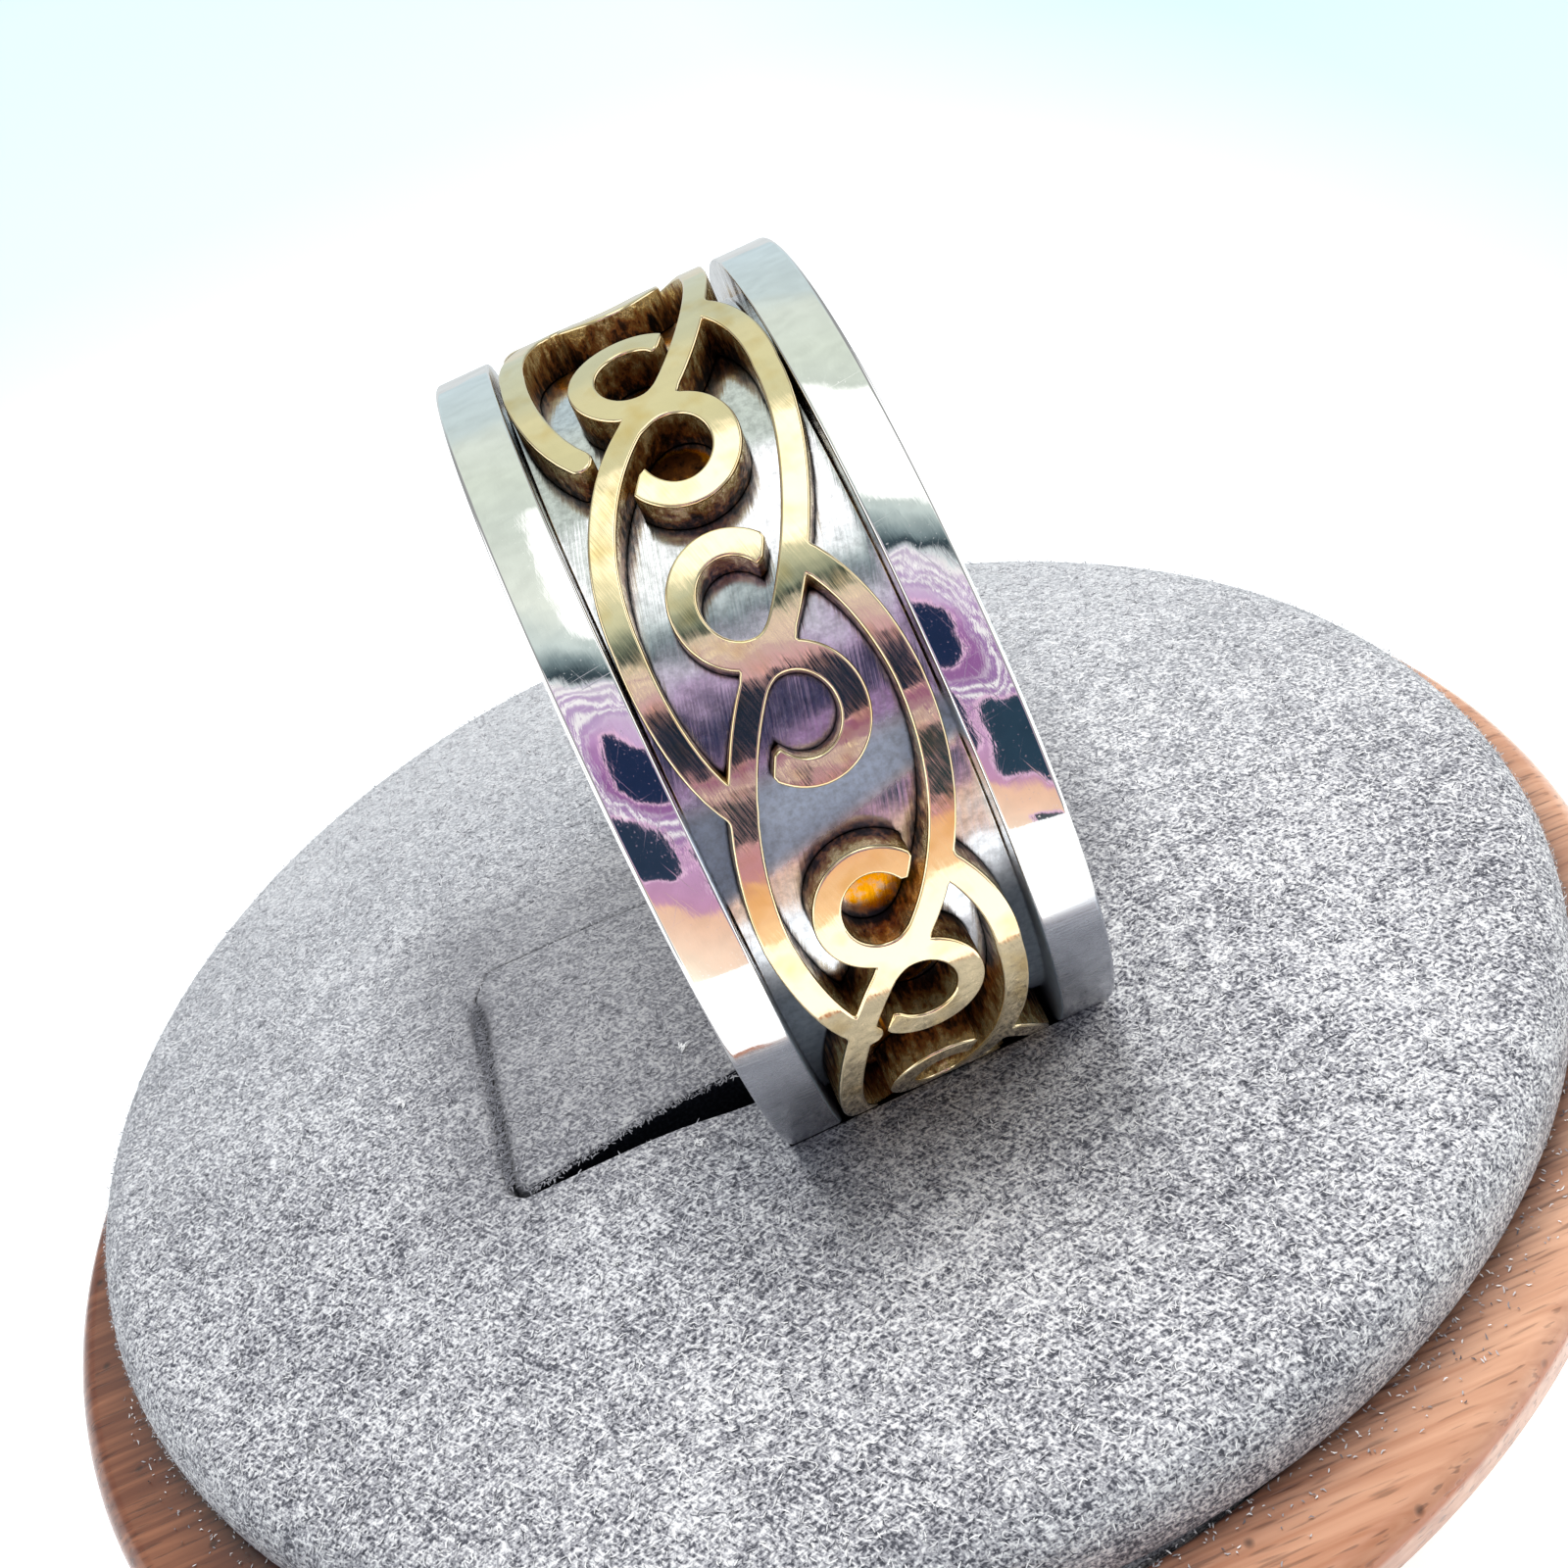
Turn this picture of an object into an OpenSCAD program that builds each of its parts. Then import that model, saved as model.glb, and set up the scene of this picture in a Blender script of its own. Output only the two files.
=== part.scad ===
// Wide two-tone band ring with pierced gold scrollwork, standing in the slit of
// a felt pad on a turned wooden base. Millimetres, +Z up, the origin at the
// centre of the base's underside, +X along the finger hole.

/* [Band] */
// Diameter of the finger hole
finger_d = 17; // [15:0.1:19]
// Thickness of the silver under the scrollwork
liner_t = 1.0; // [0.8:0.1:1.3]
// Height of the two rims above the liner
rim_h = 1.0; // [0.6:0.1:1.2]
// Width of the band along the finger
band_w = 8.74; // [8.5:0.02:9.5]
// Width of the channel between the rims
channel_w = 5.96; // [5.9:0.02:6.4]
// Chamfer on the edges of the rims
edge_c = 0.13; // [0.05:0.01:0.3]

/* [Scrollwork] */
// Scroll units round the band
units = 9; // [8:1:10]
// Width of the flat gold wire seen from outside
wire_w = 0.66; // [0.5:0.02:0.7]
// Clearance between the scrollwork and the silver
scroll_gap = 0.03; // [0.02:0.01:0.1]
// Half width of a curl's centre line, along the finger
curl_across = 1.1; // [0.9:0.05:1.2]
// Half length of a curl's centre line, round the band
curl_along = 1.23; // [1:0.01:1.3]
// Distance from the crossing to a curl's centre
curl_step = 1.36; // [1.2:0.01:1.5]
// Sideways offset of each curl's centre
curl_side = 0.09; // [0:0.01:0.2]

/* [Pad] */
// Diameter of the felt pad
pad_d = 41; // [38:0.5:42]
// Height of the pad's crown above the wooden rim
pad_rise = 3.9; // [3.5:0.1:5]
// Height of the pad's shoulder above the wooden rim
shoulder_rise = 3.0; // [2:0.1:3.4]
// Radius of the pad's rounded shoulder
shoulder_r = 0.9; // [0.5:0.1:1.5]
// Width of the slits that free the tongue
slit_w = 0.45; // [0.3:0.05:0.8]
// Clearance between the felt and the ring
felt_gap = 0.15; // [0.1:0.05:0.3]

/* [Base] */
// Diameter of the wooden base at its rim
base_d = 44.8; // [43.5:0.1:50]
// Diameter of the foot that it stands on
foot_d = 32; // [24:1:34]
// Height of the wooden rim above the table
base_h = 9; // [8.5:0.1:12]
// Depth of the recess that holds the pad
recess_h = 2; // [1.5:0.1:3]
// Radius of the rim's rounded outer edge
rim_round = 0.6; // [0.3:0.1:1]

/* [Pose of the ring] */
// Position of the ring's centre along the finger hole
ring_x = 2.75; // [0:0.05:4]
// How deep the ring stands in the felt, below the crown
ring_sunk = 3.48; // [2.5:0.01:3.6]
// Tilt of the finger hole from level, in degrees
ring_lean = 2.54; // [0:0.1:4]

/* [Hidden] */

finger_r = finger_d / 2;
floor_r = finger_r + liner_t;
band_r = floor_r + rim_h;
ring_z = base_h + pad_rise - ring_sunk + band_r;
pitch = 2 * PI * band_r / units;
turn_per_mm = 180 / (PI * band_r); // degrees round the band
front_angle = 56.2;      // from the band's top to the middle of its visible face
groove_open = 0.1;       // chamfer on the channel's edges
wire_low = floor_r + scroll_gap;
solder_t = 0.5;          // length of the solder that fills a joint
solder_h = 0.9;          // its height, a little below the wire's top
seat_gap = 0.1;          // felt to wood, round the pad
seat_under = 0.03;       // felt to wood, under the pad
slit_floor = base_h - 0.4;
tongue_x = [-8.2, 7];    // free end and root
tongue_y = [-5.5, 3.1];
past = 1;                // how far a cutter runs past what it cuts
round_steps = 6;
dome_steps = 6;
curl_from = 33;          // first and last angle of a curl's open arc
curl_to = 297;
curl_steps = 14;

// Units bent by hand, unlike the rest:
// [unit, shift round the band, reach to the left, reach to the right]
hand_made = [
    [-2, 0.00, 2.56, 2.45],
    [-1, 0.82, 2.55, 2.36],
    [ 0, 0.00, 2.36, 2.57],
    [ 1, 0.03, 2.40, 2.41],
    [ 2, 0.00, 2.45, 2.25],
];
nominal = [0, 0, 2.45, 2.45];
first_waist = -0.81;     // where unit 0 crosses, round the band from front_angle

// Centre line of half a long bar, from the crossing to its tip:
// [round the band, across the band]
bar_half = [
    [0.00, 0.00], [0.31, 0.46], [0.74, 0.76], [1.17, 1.02], [1.70, 1.31], [2.20, 1.57],
    [2.70, 1.79], [3.20, 1.98], [3.80, 2.17], [4.50, 2.34], [5.20, 2.43], [5.90, 2.45],
    [6.60, 2.42], [7.30, 2.33], [8.00, 2.15], [8.60, 1.93], [9.15, 1.68],
];
bar_reach = 2.45;

function row_of(unit) =
    let (found = [for (row = hand_made) if (row[0] == unit) row])
    len(found) > 0 ? found[0] : nominal;

// Points are [across, round the band], both in millimetres on the outside.
function bar_points(waist, left, right) = concat(
    [for (i = [len(bar_half) - 1 : -1 : 1])
        [bar_half[i][1] * right / bar_reach, waist - bar_half[i][0]]],
    [for (p = bar_half) [-p[1] * left / bar_reach, waist + p[0]]]
);
function curl_points(waist, side) = [for (i = [0 : curl_steps])
    let (a = curl_from + (curl_to - curl_from) * i / curl_steps)
    [side * (curl_across * cos(a) - curl_side),
     waist - side * (curl_step + curl_along * sin(a))]
];
// Direction of the wire at point i, from round the band towards across it
function heading(points, i) =
    let (last = len(points) - 1,
         d = points[min(i + 1, last)] - points[max(i - 1, 0)])
    atan2(d[0], d[1]);

// An arc's points, from angle a to angle b
function arc(centre, r, a, b, steps) = [for (i = [0 : steps])
    centre + r * [cos(a + (b - a) * i / steps), sin(a + (b - a) * i / steps)]
];

module in_ring_place() {
    translate([ring_x, 0, ring_z]) rotate([0, -ring_lean, 0]) children();
}

module along_finger() {
    rotate([0, 90, 0]) children();
}

// A corner of the wire's square section, at the given radius and offset to one side
function wire_corner(point, turn, side, r) =
    let (a = front_angle + point[1] * turn_per_mm,
         x = point[0] + side * cos(turn) * wire_w / 2,
         y = side * sin(turn) * wire_w / 2)
    [x, y * cos(a) - r * sin(a), y * sin(a) + r * cos(a)];
function wire_section(points, i) =
    let (turn = heading(points, i))
    [wire_corner(points[i], turn, -1, wire_low), wire_corner(points[i], turn, 1, wire_low),
     wire_corner(points[i], turn, 1, band_r), wire_corner(points[i], turn, -1, band_r)];

// Flat wire along a line of points, bent round the band
module wire(points) {
    last = len(points) - 1;
    corners = [for (i = [0 : last]) each wire_section(points, i)];
    sides = [for (i = [0 : last - 1]) for (k = [0 : 3])
        let (a = 4 * i + k, b = 4 * i + (k + 1) % 4)
        each [[a, b + 4, b], [a, a + 4, b + 4]]];
    ends = 4 * last;
    polyhedron(corners, concat(sides,
        [[0, 1, 2], [0, 2, 3], [ends, ends + 2, ends + 1], [ends, ends + 3, ends + 2]]));
}

// Solder that joins a bar's tip to the next bar
module solder(from, to) {
    hull()
        for (point = [from, to])
            rotate([front_angle + point[1] * turn_per_mm, 0, 0])
                translate([point[0] - solder_t / 2, -solder_t / 2, wire_low])
                    cube([solder_t, solder_t, solder_h]);
}

// One figure of eight with the long bar through its waist, soldered at its tips
module unit_of_scroll(waist, left, right) {
    bar = bar_points(waist, left, right);
    last = len(bar) - 1;
    wire(bar);
    wire(curl_points(waist, 1));
    wire(curl_points(waist, -1));
    solder(bar[0] + [0, solder_t], bar[0] + [-solder_t, solder_t]);
    solder(bar[last] - [0, solder_t], bar[last] - [-solder_t, solder_t]);
}

module scroll() {
    color("goldenrod")
        in_ring_place()
            for (unit = [-2 : units - 3]) {
                row = row_of(unit);
                unit_of_scroll(first_waist + unit * pitch + row[1], row[2], row[3]);
            }
}

// Half of the band's section, in [radius, along the finger]
function band_side(side) = [
    [finger_r, side * (band_w / 2 - edge_c)],
    [finger_r + edge_c, side * band_w / 2],
    [band_r - edge_c, side * band_w / 2],
    [band_r, side * (band_w / 2 - edge_c)],
    [band_r, side * (channel_w / 2 + groove_open)],
    [band_r - groove_open, side * channel_w / 2],
    [floor_r, side * channel_w / 2]
];

module band() {
    left = band_side(-1);
    right = band_side(1);
    color("silver")
        in_ring_place()
            along_finger()
                rotate_extrude($fn = 180)
                    polygon(concat(left, [for (i = [len(right) - 1 : -1 : 0]) right[i]]));
}

// The pad's outline from its crown down to its underside
function pad_outline() =
    let (r = pad_d / 2,
         shoulder = r - shoulder_r,
         crown = base_h + pad_rise,
         drop = pad_rise - shoulder_rise)
    concat(
        [for (i = [0 : dome_steps])
            [shoulder * i / dome_steps, crown - drop * pow(i / dome_steps, 2)]],
        arc([shoulder, base_h + shoulder_rise - shoulder_r], shoulder_r, 90, 0, round_steps),
        [[r, base_h - recess_h + seat_under], [0, base_h - recess_h + seat_under]]
    );

// Three slits, leaving the tongue joined to the pad at its root
module slits() {
    deep = pad_rise + base_h - slit_floor + past;
    across = tongue_y[1] - tongue_y[0] + 2 * slit_w;
    along = tongue_x[1] - tongue_x[0] + slit_w;
    from = [tongue_x[0] - slit_w, tongue_y[0] - slit_w, slit_floor];
    translate(from) cube([slit_w, across, deep]);
    translate(from) cube([along, slit_w, deep]);
    translate([from[0], tongue_y[1], from[2]]) cube([along, slit_w, deep]);
}

// The round of felt that the ring pushes aside
module ring_room() {
    w = band_w + 2 * felt_gap;
    in_ring_place()
        along_finger()
            difference() {
                translate([0, 0, -w / 2]) cylinder(r = band_r + felt_gap, h = w, $fn = 180);
                translate([0, 0, -w / 2 - past])
                    cylinder(r = finger_r - felt_gap, h = w + 2 * past, $fn = 180);
            }
}

module pad() {
    color("gray")
        difference() {
            rotate_extrude($fn = 180) polygon(pad_outline());
            slits();
            ring_room();
        }
}

module base() {
    r = base_d / 2;
    recess_r = pad_d / 2 + seat_gap;
    floor_z = base_h - recess_h;
    color("sienna")
        rotate_extrude($fn = 180)
            polygon(concat(
                [[0, 0], [foot_d / 2, 0]],
                arc([r - rim_round, base_h - rim_round], rim_round, -20, 90, round_steps),
                [[recess_r, base_h], [recess_r, floor_z], [0, floor_z]]
            ));
}

band();
scroll();
pad();
base();
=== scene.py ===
# A wide silver band ring with gold scrollwork, standing in a felt pad on a turned wooden base.
# The pieces are worked out in millimetres, in the part's own frame, and scaled as they become meshes.
import math
from functools import partial

import bpy
import numpy as np
from mathutils import Matrix, Vector


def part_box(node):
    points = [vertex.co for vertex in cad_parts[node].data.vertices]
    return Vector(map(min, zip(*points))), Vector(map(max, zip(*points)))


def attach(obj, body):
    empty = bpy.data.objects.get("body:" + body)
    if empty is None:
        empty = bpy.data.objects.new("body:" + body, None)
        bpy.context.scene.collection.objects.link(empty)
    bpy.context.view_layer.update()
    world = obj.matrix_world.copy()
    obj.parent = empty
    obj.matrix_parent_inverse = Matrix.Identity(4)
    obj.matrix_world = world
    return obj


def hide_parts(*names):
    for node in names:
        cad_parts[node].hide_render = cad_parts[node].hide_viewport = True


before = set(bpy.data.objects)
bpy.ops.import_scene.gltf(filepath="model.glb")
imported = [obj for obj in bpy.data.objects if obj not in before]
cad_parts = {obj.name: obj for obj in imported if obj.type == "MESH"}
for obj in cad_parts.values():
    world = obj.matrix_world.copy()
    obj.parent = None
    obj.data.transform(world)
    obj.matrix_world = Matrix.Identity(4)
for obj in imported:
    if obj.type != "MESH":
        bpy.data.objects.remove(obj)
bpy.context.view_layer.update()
mm = 0.001
quarterTurn = math.pi / 2
rng = np.random.default_rng(7)
scene = bpy.context.scene


def nodeBox(name):
    lo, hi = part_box(name)
    return np.array(lo) / mm, np.array(hi) / mm


# Colours, nodes and materials
def hexColour(text):
    parts = [int(text[i:i + 2], 16) / 255 for i in (1, 3, 5)]
    linear = [c / 12.92 if c <= 0.04045 else ((c + 0.055) / 1.055) ** 2.4 for c in parts]
    return (*linear, 1.0)


# Adds a node and gives one of its outputs. The inputs are values, hex colours or other outputs, by
# name or in order. A MapRange takes the value, its lowest and highest, and what these become.
def addNode(tree, kind, inputs=(), stops=(), output=0, **settings):
    node = tree.nodes.new("ShaderNode" + kind)
    for key, value in settings.items():
        setattr(node, key, value)
    for key, value in inputs.items() if isinstance(inputs, dict) else enumerate(inputs):
        if isinstance(value, bpy.types.NodeSocket):
            tree.links.new(value, node.inputs[key])
        else:
            node.inputs[key].default_value = hexColour(value) if isinstance(value, str) else value
    if stops:
        ramp = node.color_ramp.elements
        while len(ramp) < len(stops):
            ramp.new(0.5)
        for element, (place, colour) in zip(ramp, stops):
            element.position = place
            element.color = hexColour(colour) if isinstance(colour, str) else (colour,) * 3 + (1,)
    return node.outputs[output] if node.outputs else node


def newMaterial(name):
    material = bpy.data.materials.new(name)
    material.use_nodes = True
    material.node_tree.nodes.clear()
    return material, partial(addNode, material.node_tree)


def surfaced(material, inputs):
    shader = addNode(material.node_tree, "BsdfPrincipled", inputs)
    addNode(material.node_tree, "OutputMaterial", {"Surface": shader})
    return material


# What a Mix of two colours needs: it takes the share at 0, the colour below at 6 and the one over
# it at 7
colourMix = {"output": 2, "data_type": "RGBA"}
noiseRange = (0.3, 0.7)        # nearly all of a cloudy pattern's values lie between these


# Patterns on the ring use its "flat" attribute: millimetres round the band, along the finger and
# down from the outside. Those on the pad and base use object coordinates, in metres.
def onRing(add):
    return add("Attribute", output="Vector", attribute_name="flat"), 1


def onStand(add):
    return add("TexCoord", output="Object"), mm


# A cloudy pattern: size is that of one grain in mm, one number or three, and turn is in degrees
# about the surface's normal
def grains(add, where, size, turn=0, detail=2.0, **more):
    place, unit = where(add)
    size = [s * unit for s in (size if isinstance(size, tuple) else (size,) * 3)]
    turned = {"Vector": place, "Rotation": (0, 0, math.radians(turn)), "Scale": size}
    place = add("Mapping", turned, vector_type="TEXTURE")
    return add("TexNoise", {"Vector": place, "Scale": 1.0, "Detail": detail, **more})


# Meshes
def newPiece(name, points, faces, materials, kinds=None, normals=None, attributes=None):
    mesh = bpy.data.meshes.new(name)
    mesh.from_pydata((np.asarray(points) * mm).tolist(), [], faces)
    for material in materials:
        mesh.materials.append(material)
    mesh.polygons.foreach_set("use_smooth", np.ones(len(mesh.polygons), bool))
    if kinds is not None:
        mesh.polygons.foreach_set("material_index", np.asarray(kinds, np.int32))
    for key, values in (attributes or {}).items():
        values = np.asarray(values, np.float32)
        kind, part = ("FLOAT", "value") if values.ndim == 1 else ("FLOAT_VECTOR", "vector")
        mesh.attributes.new(key, kind, "POINT").data.foreach_set(part, values.ravel())
    mesh.update()
    if normals is not None:
        mesh.normals_split_custom_set_from_vertices(np.asarray(normals).tolist())
    piece = bpy.data.objects.new(name, mesh)
    scene.collection.objects.link(piece)
    return piece


def standFor(piece, node):
    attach(piece, "root")
    if node:
        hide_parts(node)


# corners: (a, b, radius of the corner, steps along the stretch that follows, its material's number)
# Gives points, outward normals and the material of each step.
def roundedOutline(corners, arcSteps):
    points, normals, kinds = [], [], []
    place = [np.array(c[:2], float) for c in corners]
    for i, (_, _, radius, steps, kind) in enumerate(corners):
        before, here, after = place[i - 1], place[i], place[(i + 1) % len(corners)]
        d1 = (here - before) / np.linalg.norm(here - before)
        d2 = (after - here) / np.linalg.norm(after - here)
        n1, n2 = np.array([d1[1], -d1[0]]), np.array([d2[1], -d2[0]])
        side = 1 if d1[0] * d2[1] - d1[1] * d2[0] > 0 else -1
        centre = here - side * radius * (n1 + n2) / (1 + n1 @ n2)
        turn = math.acos(max(-1, min(1, float(n1 @ n2))))
        for k in range(arcSteps + 1):
            t = k / arcSteps
            n = (n1 * math.sin((1 - t) * turn) + n2 * math.sin(t * turn)) / math.sin(turn)
            points.append(centre + side * radius * n)
            normals.append(n)
            kinds.append(corners[i - 1][4] if t < 0.5 else kind)
        points += [None] * (steps - 1)
        normals += [n2] * (steps - 1)
        kinds += [kind] * (steps - 1)
    total = len(points)
    for i in range(total):
        if points[i] is None:
            last = next(k for k in range(i, i + total) if points[k % total] is not None)
            points[i] = points[i - 1] + (points[last % total] - points[i - 1]) / (last - i + 1)
    return np.array(points), np.array(normals), kinds


# Turns a rounded outline of (radius, along the axis) round that axis, with a copy at each place.
# Gives each point's place, radius, distance along and both parts of its normal, and the faces and
# their materials.
def turnRound(corners, places, arcSteps=4):
    outline, normals, kinds = roundedOutline(corners, arcSteps)
    steps, rows = len(places), len(outline)
    i, k = np.meshgrid(np.arange(steps) * rows, np.arange(rows), indexing="ij")
    i2, k2 = (i + rows) % (steps * rows), (k + 1) % rows
    faces = np.stack([i2 + k, i2 + k2, i + k2, i + k], -1).reshape(-1, 4).tolist()
    sections = np.tile(np.hstack([outline, normals]), (steps, 1)).T
    return np.repeat(places, rows), *sections, faces, kinds * steps


# Cuts a sheet out of a field on a grid of us and vs: negative values are kept. wraps is how far
# it goes round before it meets itself. Gives the grid's points, the points on the outline, the
# faces, in which the outline's points count down from -1, the outline's steps, and a function
# that reads other values on the grid at the outline's points.
def cutSheet(us, vs, field, wraps=None):
    nu, nv = field.shape
    i, j = np.meshgrid(np.arange(nu if wraps else nu - 1), np.arange(nv - 1), indexing="ij")
    i2 = (i + 1) % nu
    corner = np.stack([i * nv + j, i2 * nv + j, i2 * nv + j + 1, i * nv + j + 1], -1).reshape(-1, 4)
    value = field.ravel()
    inside = value[corner] < 0
    case = inside @ np.array([1, 2, 4, 8])
    keyOf, cuts, faces, outline = {}, [], [], []

    def cutPoint(a, b):
        key = (a, b) if a < b else (b, a)
        if key not in keyOf:
            keyOf[key] = len(cuts)
            cuts.append((*key, value[key[0]] / (value[key[0]] - value[key[1]])))
        return -1 - keyOf[key]

    for index in np.nonzero(case)[0]:
        c = corner[index].tolist()
        walk, crossings = [], []
        for k in range(4):
            after = (k + 1) % 4
            if inside[index, k]:
                walk.append(c[k])
            if inside[index, k] != inside[index, after]:
                walk.append(cutPoint(c[k], c[after]))
                crossings.append((walk[-1], inside[index, k]))
        if len(crossings) < 4:
            faces.append(walk)
            if crossings:
                (first, leaves), (second, _) = crossings
                outline.append((first, second) if leaves else (second, first))
            continue
        for k in range(4):
            if inside[index, k]:
                leaves, enters = cutPoint(c[k], c[(k + 1) % 4]), cutPoint(c[k - 1], c[k])
                faces.append([enters, c[k], leaves])
                outline.append((leaves, enters))
    used = sorted({p for face in faces for p in face if p >= 0})
    number = {p: k for k, p in enumerate(used)}
    faces = [[number.get(p, p) for p in face] for face in faces]
    a, b, share = (np.array(column) for column in zip(*cuts))
    share = share[:, None]

    def atOutline(grid):
        grid = grid.reshape(nu * nv, -1)
        return grid[a] * (1 - share) + grid[b] * share

    place = np.stack(np.meshgrid(us, vs, indexing="ij"), -1).reshape(-1, 2)
    jump = place[b] - place[a]
    if wraps:
        jump[:, 0] -= wraps * np.round(jump[:, 0] / wraps)
    return place[used], place[a] + share * jump, faces, outline, atOutline


# Closes a cut sheet with its back and with walls through rows of points, which are numbered
# after the top's grid and before the back's. Gives the top and back, and the walls.
def shellFaces(gridCount, cutCount, faces, outline, rowCount):
    lastRow = gridCount + (rowCount - 1) * cutCount
    firstBack = lastRow + cutCount
    top = [[p if p >= 0 else gridCount - 1 - p for p in face] for face in faces]
    back = [[firstBack + p if p >= 0 else lastRow - 1 - p for p in face[::-1]] for face in faces]
    walls = [[start - b, start - a, start + cutCount - a, start + cutCount - b]
             for start in range(gridCount - 1, lastRow - 1, cutCount) for a, b in outline]
    return top + back, walls


def smoothMin(a, b, blend):
    h = np.clip(0.5 + 0.5 * (b - a) / blend, 0, 1)
    return b + (a - b) * h - blend * h * (1 - h)


def distanceToLine(points, line):
    line = np.asarray(line, float)
    best = np.full(points.shape[:-1], 1e9)
    for a, b in zip(line[:-1], line[1:]):
        d = b - a
        t = np.clip((points - a) @ d / (d @ d), 0, 1)
        best = np.minimum(best, np.hypot(*np.moveaxis(points - a - t[..., None] * d, -1, 0)))
    return best


def smoothStep(x, low, high):
    t = np.clip((x - low) / (high - low), 0, 1)
    return t * t * (3 - 2 * t)


def cubic(p0, p1, p2, p3, steps):
    t = np.linspace(0, 1, steps + 1)[:, None]
    return (1 - t) ** 3 * p0 + 3 * (1 - t) ** 2 * t * p1 + 3 * (1 - t) * t * t * p2 + t ** 3 * p3


# The ring's pose and sections, in millimetres
ringLow, ringHigh = nodeBox("band")
ring = {
    "centre": (ringLow + ringHigh) / 2,
    "leanDegrees": 2.54,       # the finger hole's far end is this much higher
    "outerRadius": 10.5,
    "boreRadius": 8.5,
    "floorRadius": 9.5,
    "width": 8.74,
    "channelWidth": 5.96,
    "frontDegrees": 56.2,      # from the top of the band to the middle of the face in view
    "flatSpot": (7.3, 2.6, 6.75),   # worn flatter here: place, reach and degrees that it leans back
}
girth = 2 * math.pi * ring["outerRadius"]
seamAt = -math.radians(ring["frontDegrees"] + 180) * ring["outerRadius"]  # the hidden bottom


def placesRound(steps):
    return seamAt + np.arange(steps) * girth / steps


def leaned(x, y, z):
    lean = math.radians(ring["leanDegrees"])
    return np.stack(np.broadcast_arrays(
        x * math.cos(lean) - z * math.sin(lean), y, x * math.sin(lean) + z * math.cos(lean)), -1)


# Round the band, along the finger and radius become the part's frame; normals turn the same way
def bendRound(u, v, radius):
    angle = np.radians(ring["frontDegrees"]) + u / ring["outerRadius"]
    return leaned(v, -radius * np.sin(angle), radius * np.cos(angle)) + ring["centre"]


def bendNormal(u, nu, nv, nr):
    at, reach, degrees = ring["flatSpot"]
    leansBack = np.radians(degrees) * np.exp(-((u - at) / reach) ** 2)
    angle = np.radians(ring["frontDegrees"]) + u / ring["outerRadius"] - leansBack
    return leaned(nv, -nr * np.sin(angle) - nu * np.cos(angle), nr * np.cos(angle) - nu * np.sin(angle))


# Sterling silver, machine polished and then worn: mirror-like, with slow waves left by the
# wheel and hair scratches at all angles that break up the edges of what it mirrors
silverFinish = {
    "colour": "#F7F6F4",
    "roughness": (0.045, 0.22),     # clean, and in scratches and pits
    "waveSize": 2.0,           # mm between the wheel's waves
    "waveHeight": 0.045,
    "grainAngles": (-14, 9),   # fine polishing lines, nearly along the band
    "grainSize": (1.3, 0.07, 1),    # real ones are about 0.01 mm wide, drawn coarser to show
    "grainDepth": 0.0005,
    "scratchAngles": (24, 97, 148),
    "scratchSize": (2.0, 0.03, 1),
    "scratchDepth": 0.0002,
    "scratchShare": (0.76, 0.86),   # the pattern's heights at which a scratch starts and is full
    "pitSize": 0.07,           # pits and dust
    "pitShare": (0.66, 0.74),
    "rubbedAndShaded": "#A9ACB3",       # greyed where the felt rubs it, a painted shade on what it mirrors there, with fine lines across
    "rubAngle": -6,
    "rubSize": (0.05, 0.9, 1),
    "rubRoughness": (0.06, 0.26),
}


def polishedSilver():
    look = silverFinish
    material, add = newMaterial("polished_sterling_silver")
    waves = grains(add, onRing, look["waveSize"], detail=1.5, Roughness=0.4)
    normal = add("Bump", {"Height": waves, "Distance": look["waveHeight"] * mm})
    for angle in look["grainAngles"]:
        lines = grains(add, onRing, look["grainSize"], angle)
        normal = add("Bump", {"Height": lines, "Distance": look["grainDepth"] * mm, "Normal": normal})
    scratches = 0.0
    for angle in look["scratchAngles"]:
        lines = grains(add, onRing, look["scratchSize"], angle, 0.0)
        lines = add("MapRange", (lines, *look["scratchShare"]))
        scratches = add("Math", (lines, scratches), operation="MAXIMUM")
    sunk = {"Height": scratches, "Distance": look["scratchDepth"] * mm, "Normal": normal}
    pits = add("MapRange", (grains(add, onRing, look["pitSize"], detail=1.0), *look["pitShare"]))
    marks = add("Math", (scratches, pits), operation="MAXIMUM")
    # near the felt: dulled in streaks, and greyed as painted shade on what the rims mirror
    rubbedAndShaded = add("Attribute", output="Fac", attribute_name="rubbedAndShaded")
    across = grains(add, onRing, look["rubSize"], look["rubAngle"], 1.0)
    streaks = add("MapRange", (across, *noiseRange, *look["rubRoughness"]))
    streaks = add("Math", (rubbedAndShaded, streaks), operation="MULTIPLY")
    roughness = add("MapRange", (marks, 0, 1, *look["roughness"]))
    return surfaced(material, {
        "Metallic": 1,
        "Base Color": add("Mix", {0: rubbedAndShaded, 6: look["colour"], 7: look["rubbedAndShaded"]}, **colourMix),
        "Roughness": add("Math", (streaks, roughness), operation="ADD"),
        "Normal": add("Bump", sunk, invert=True),
    })
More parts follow.
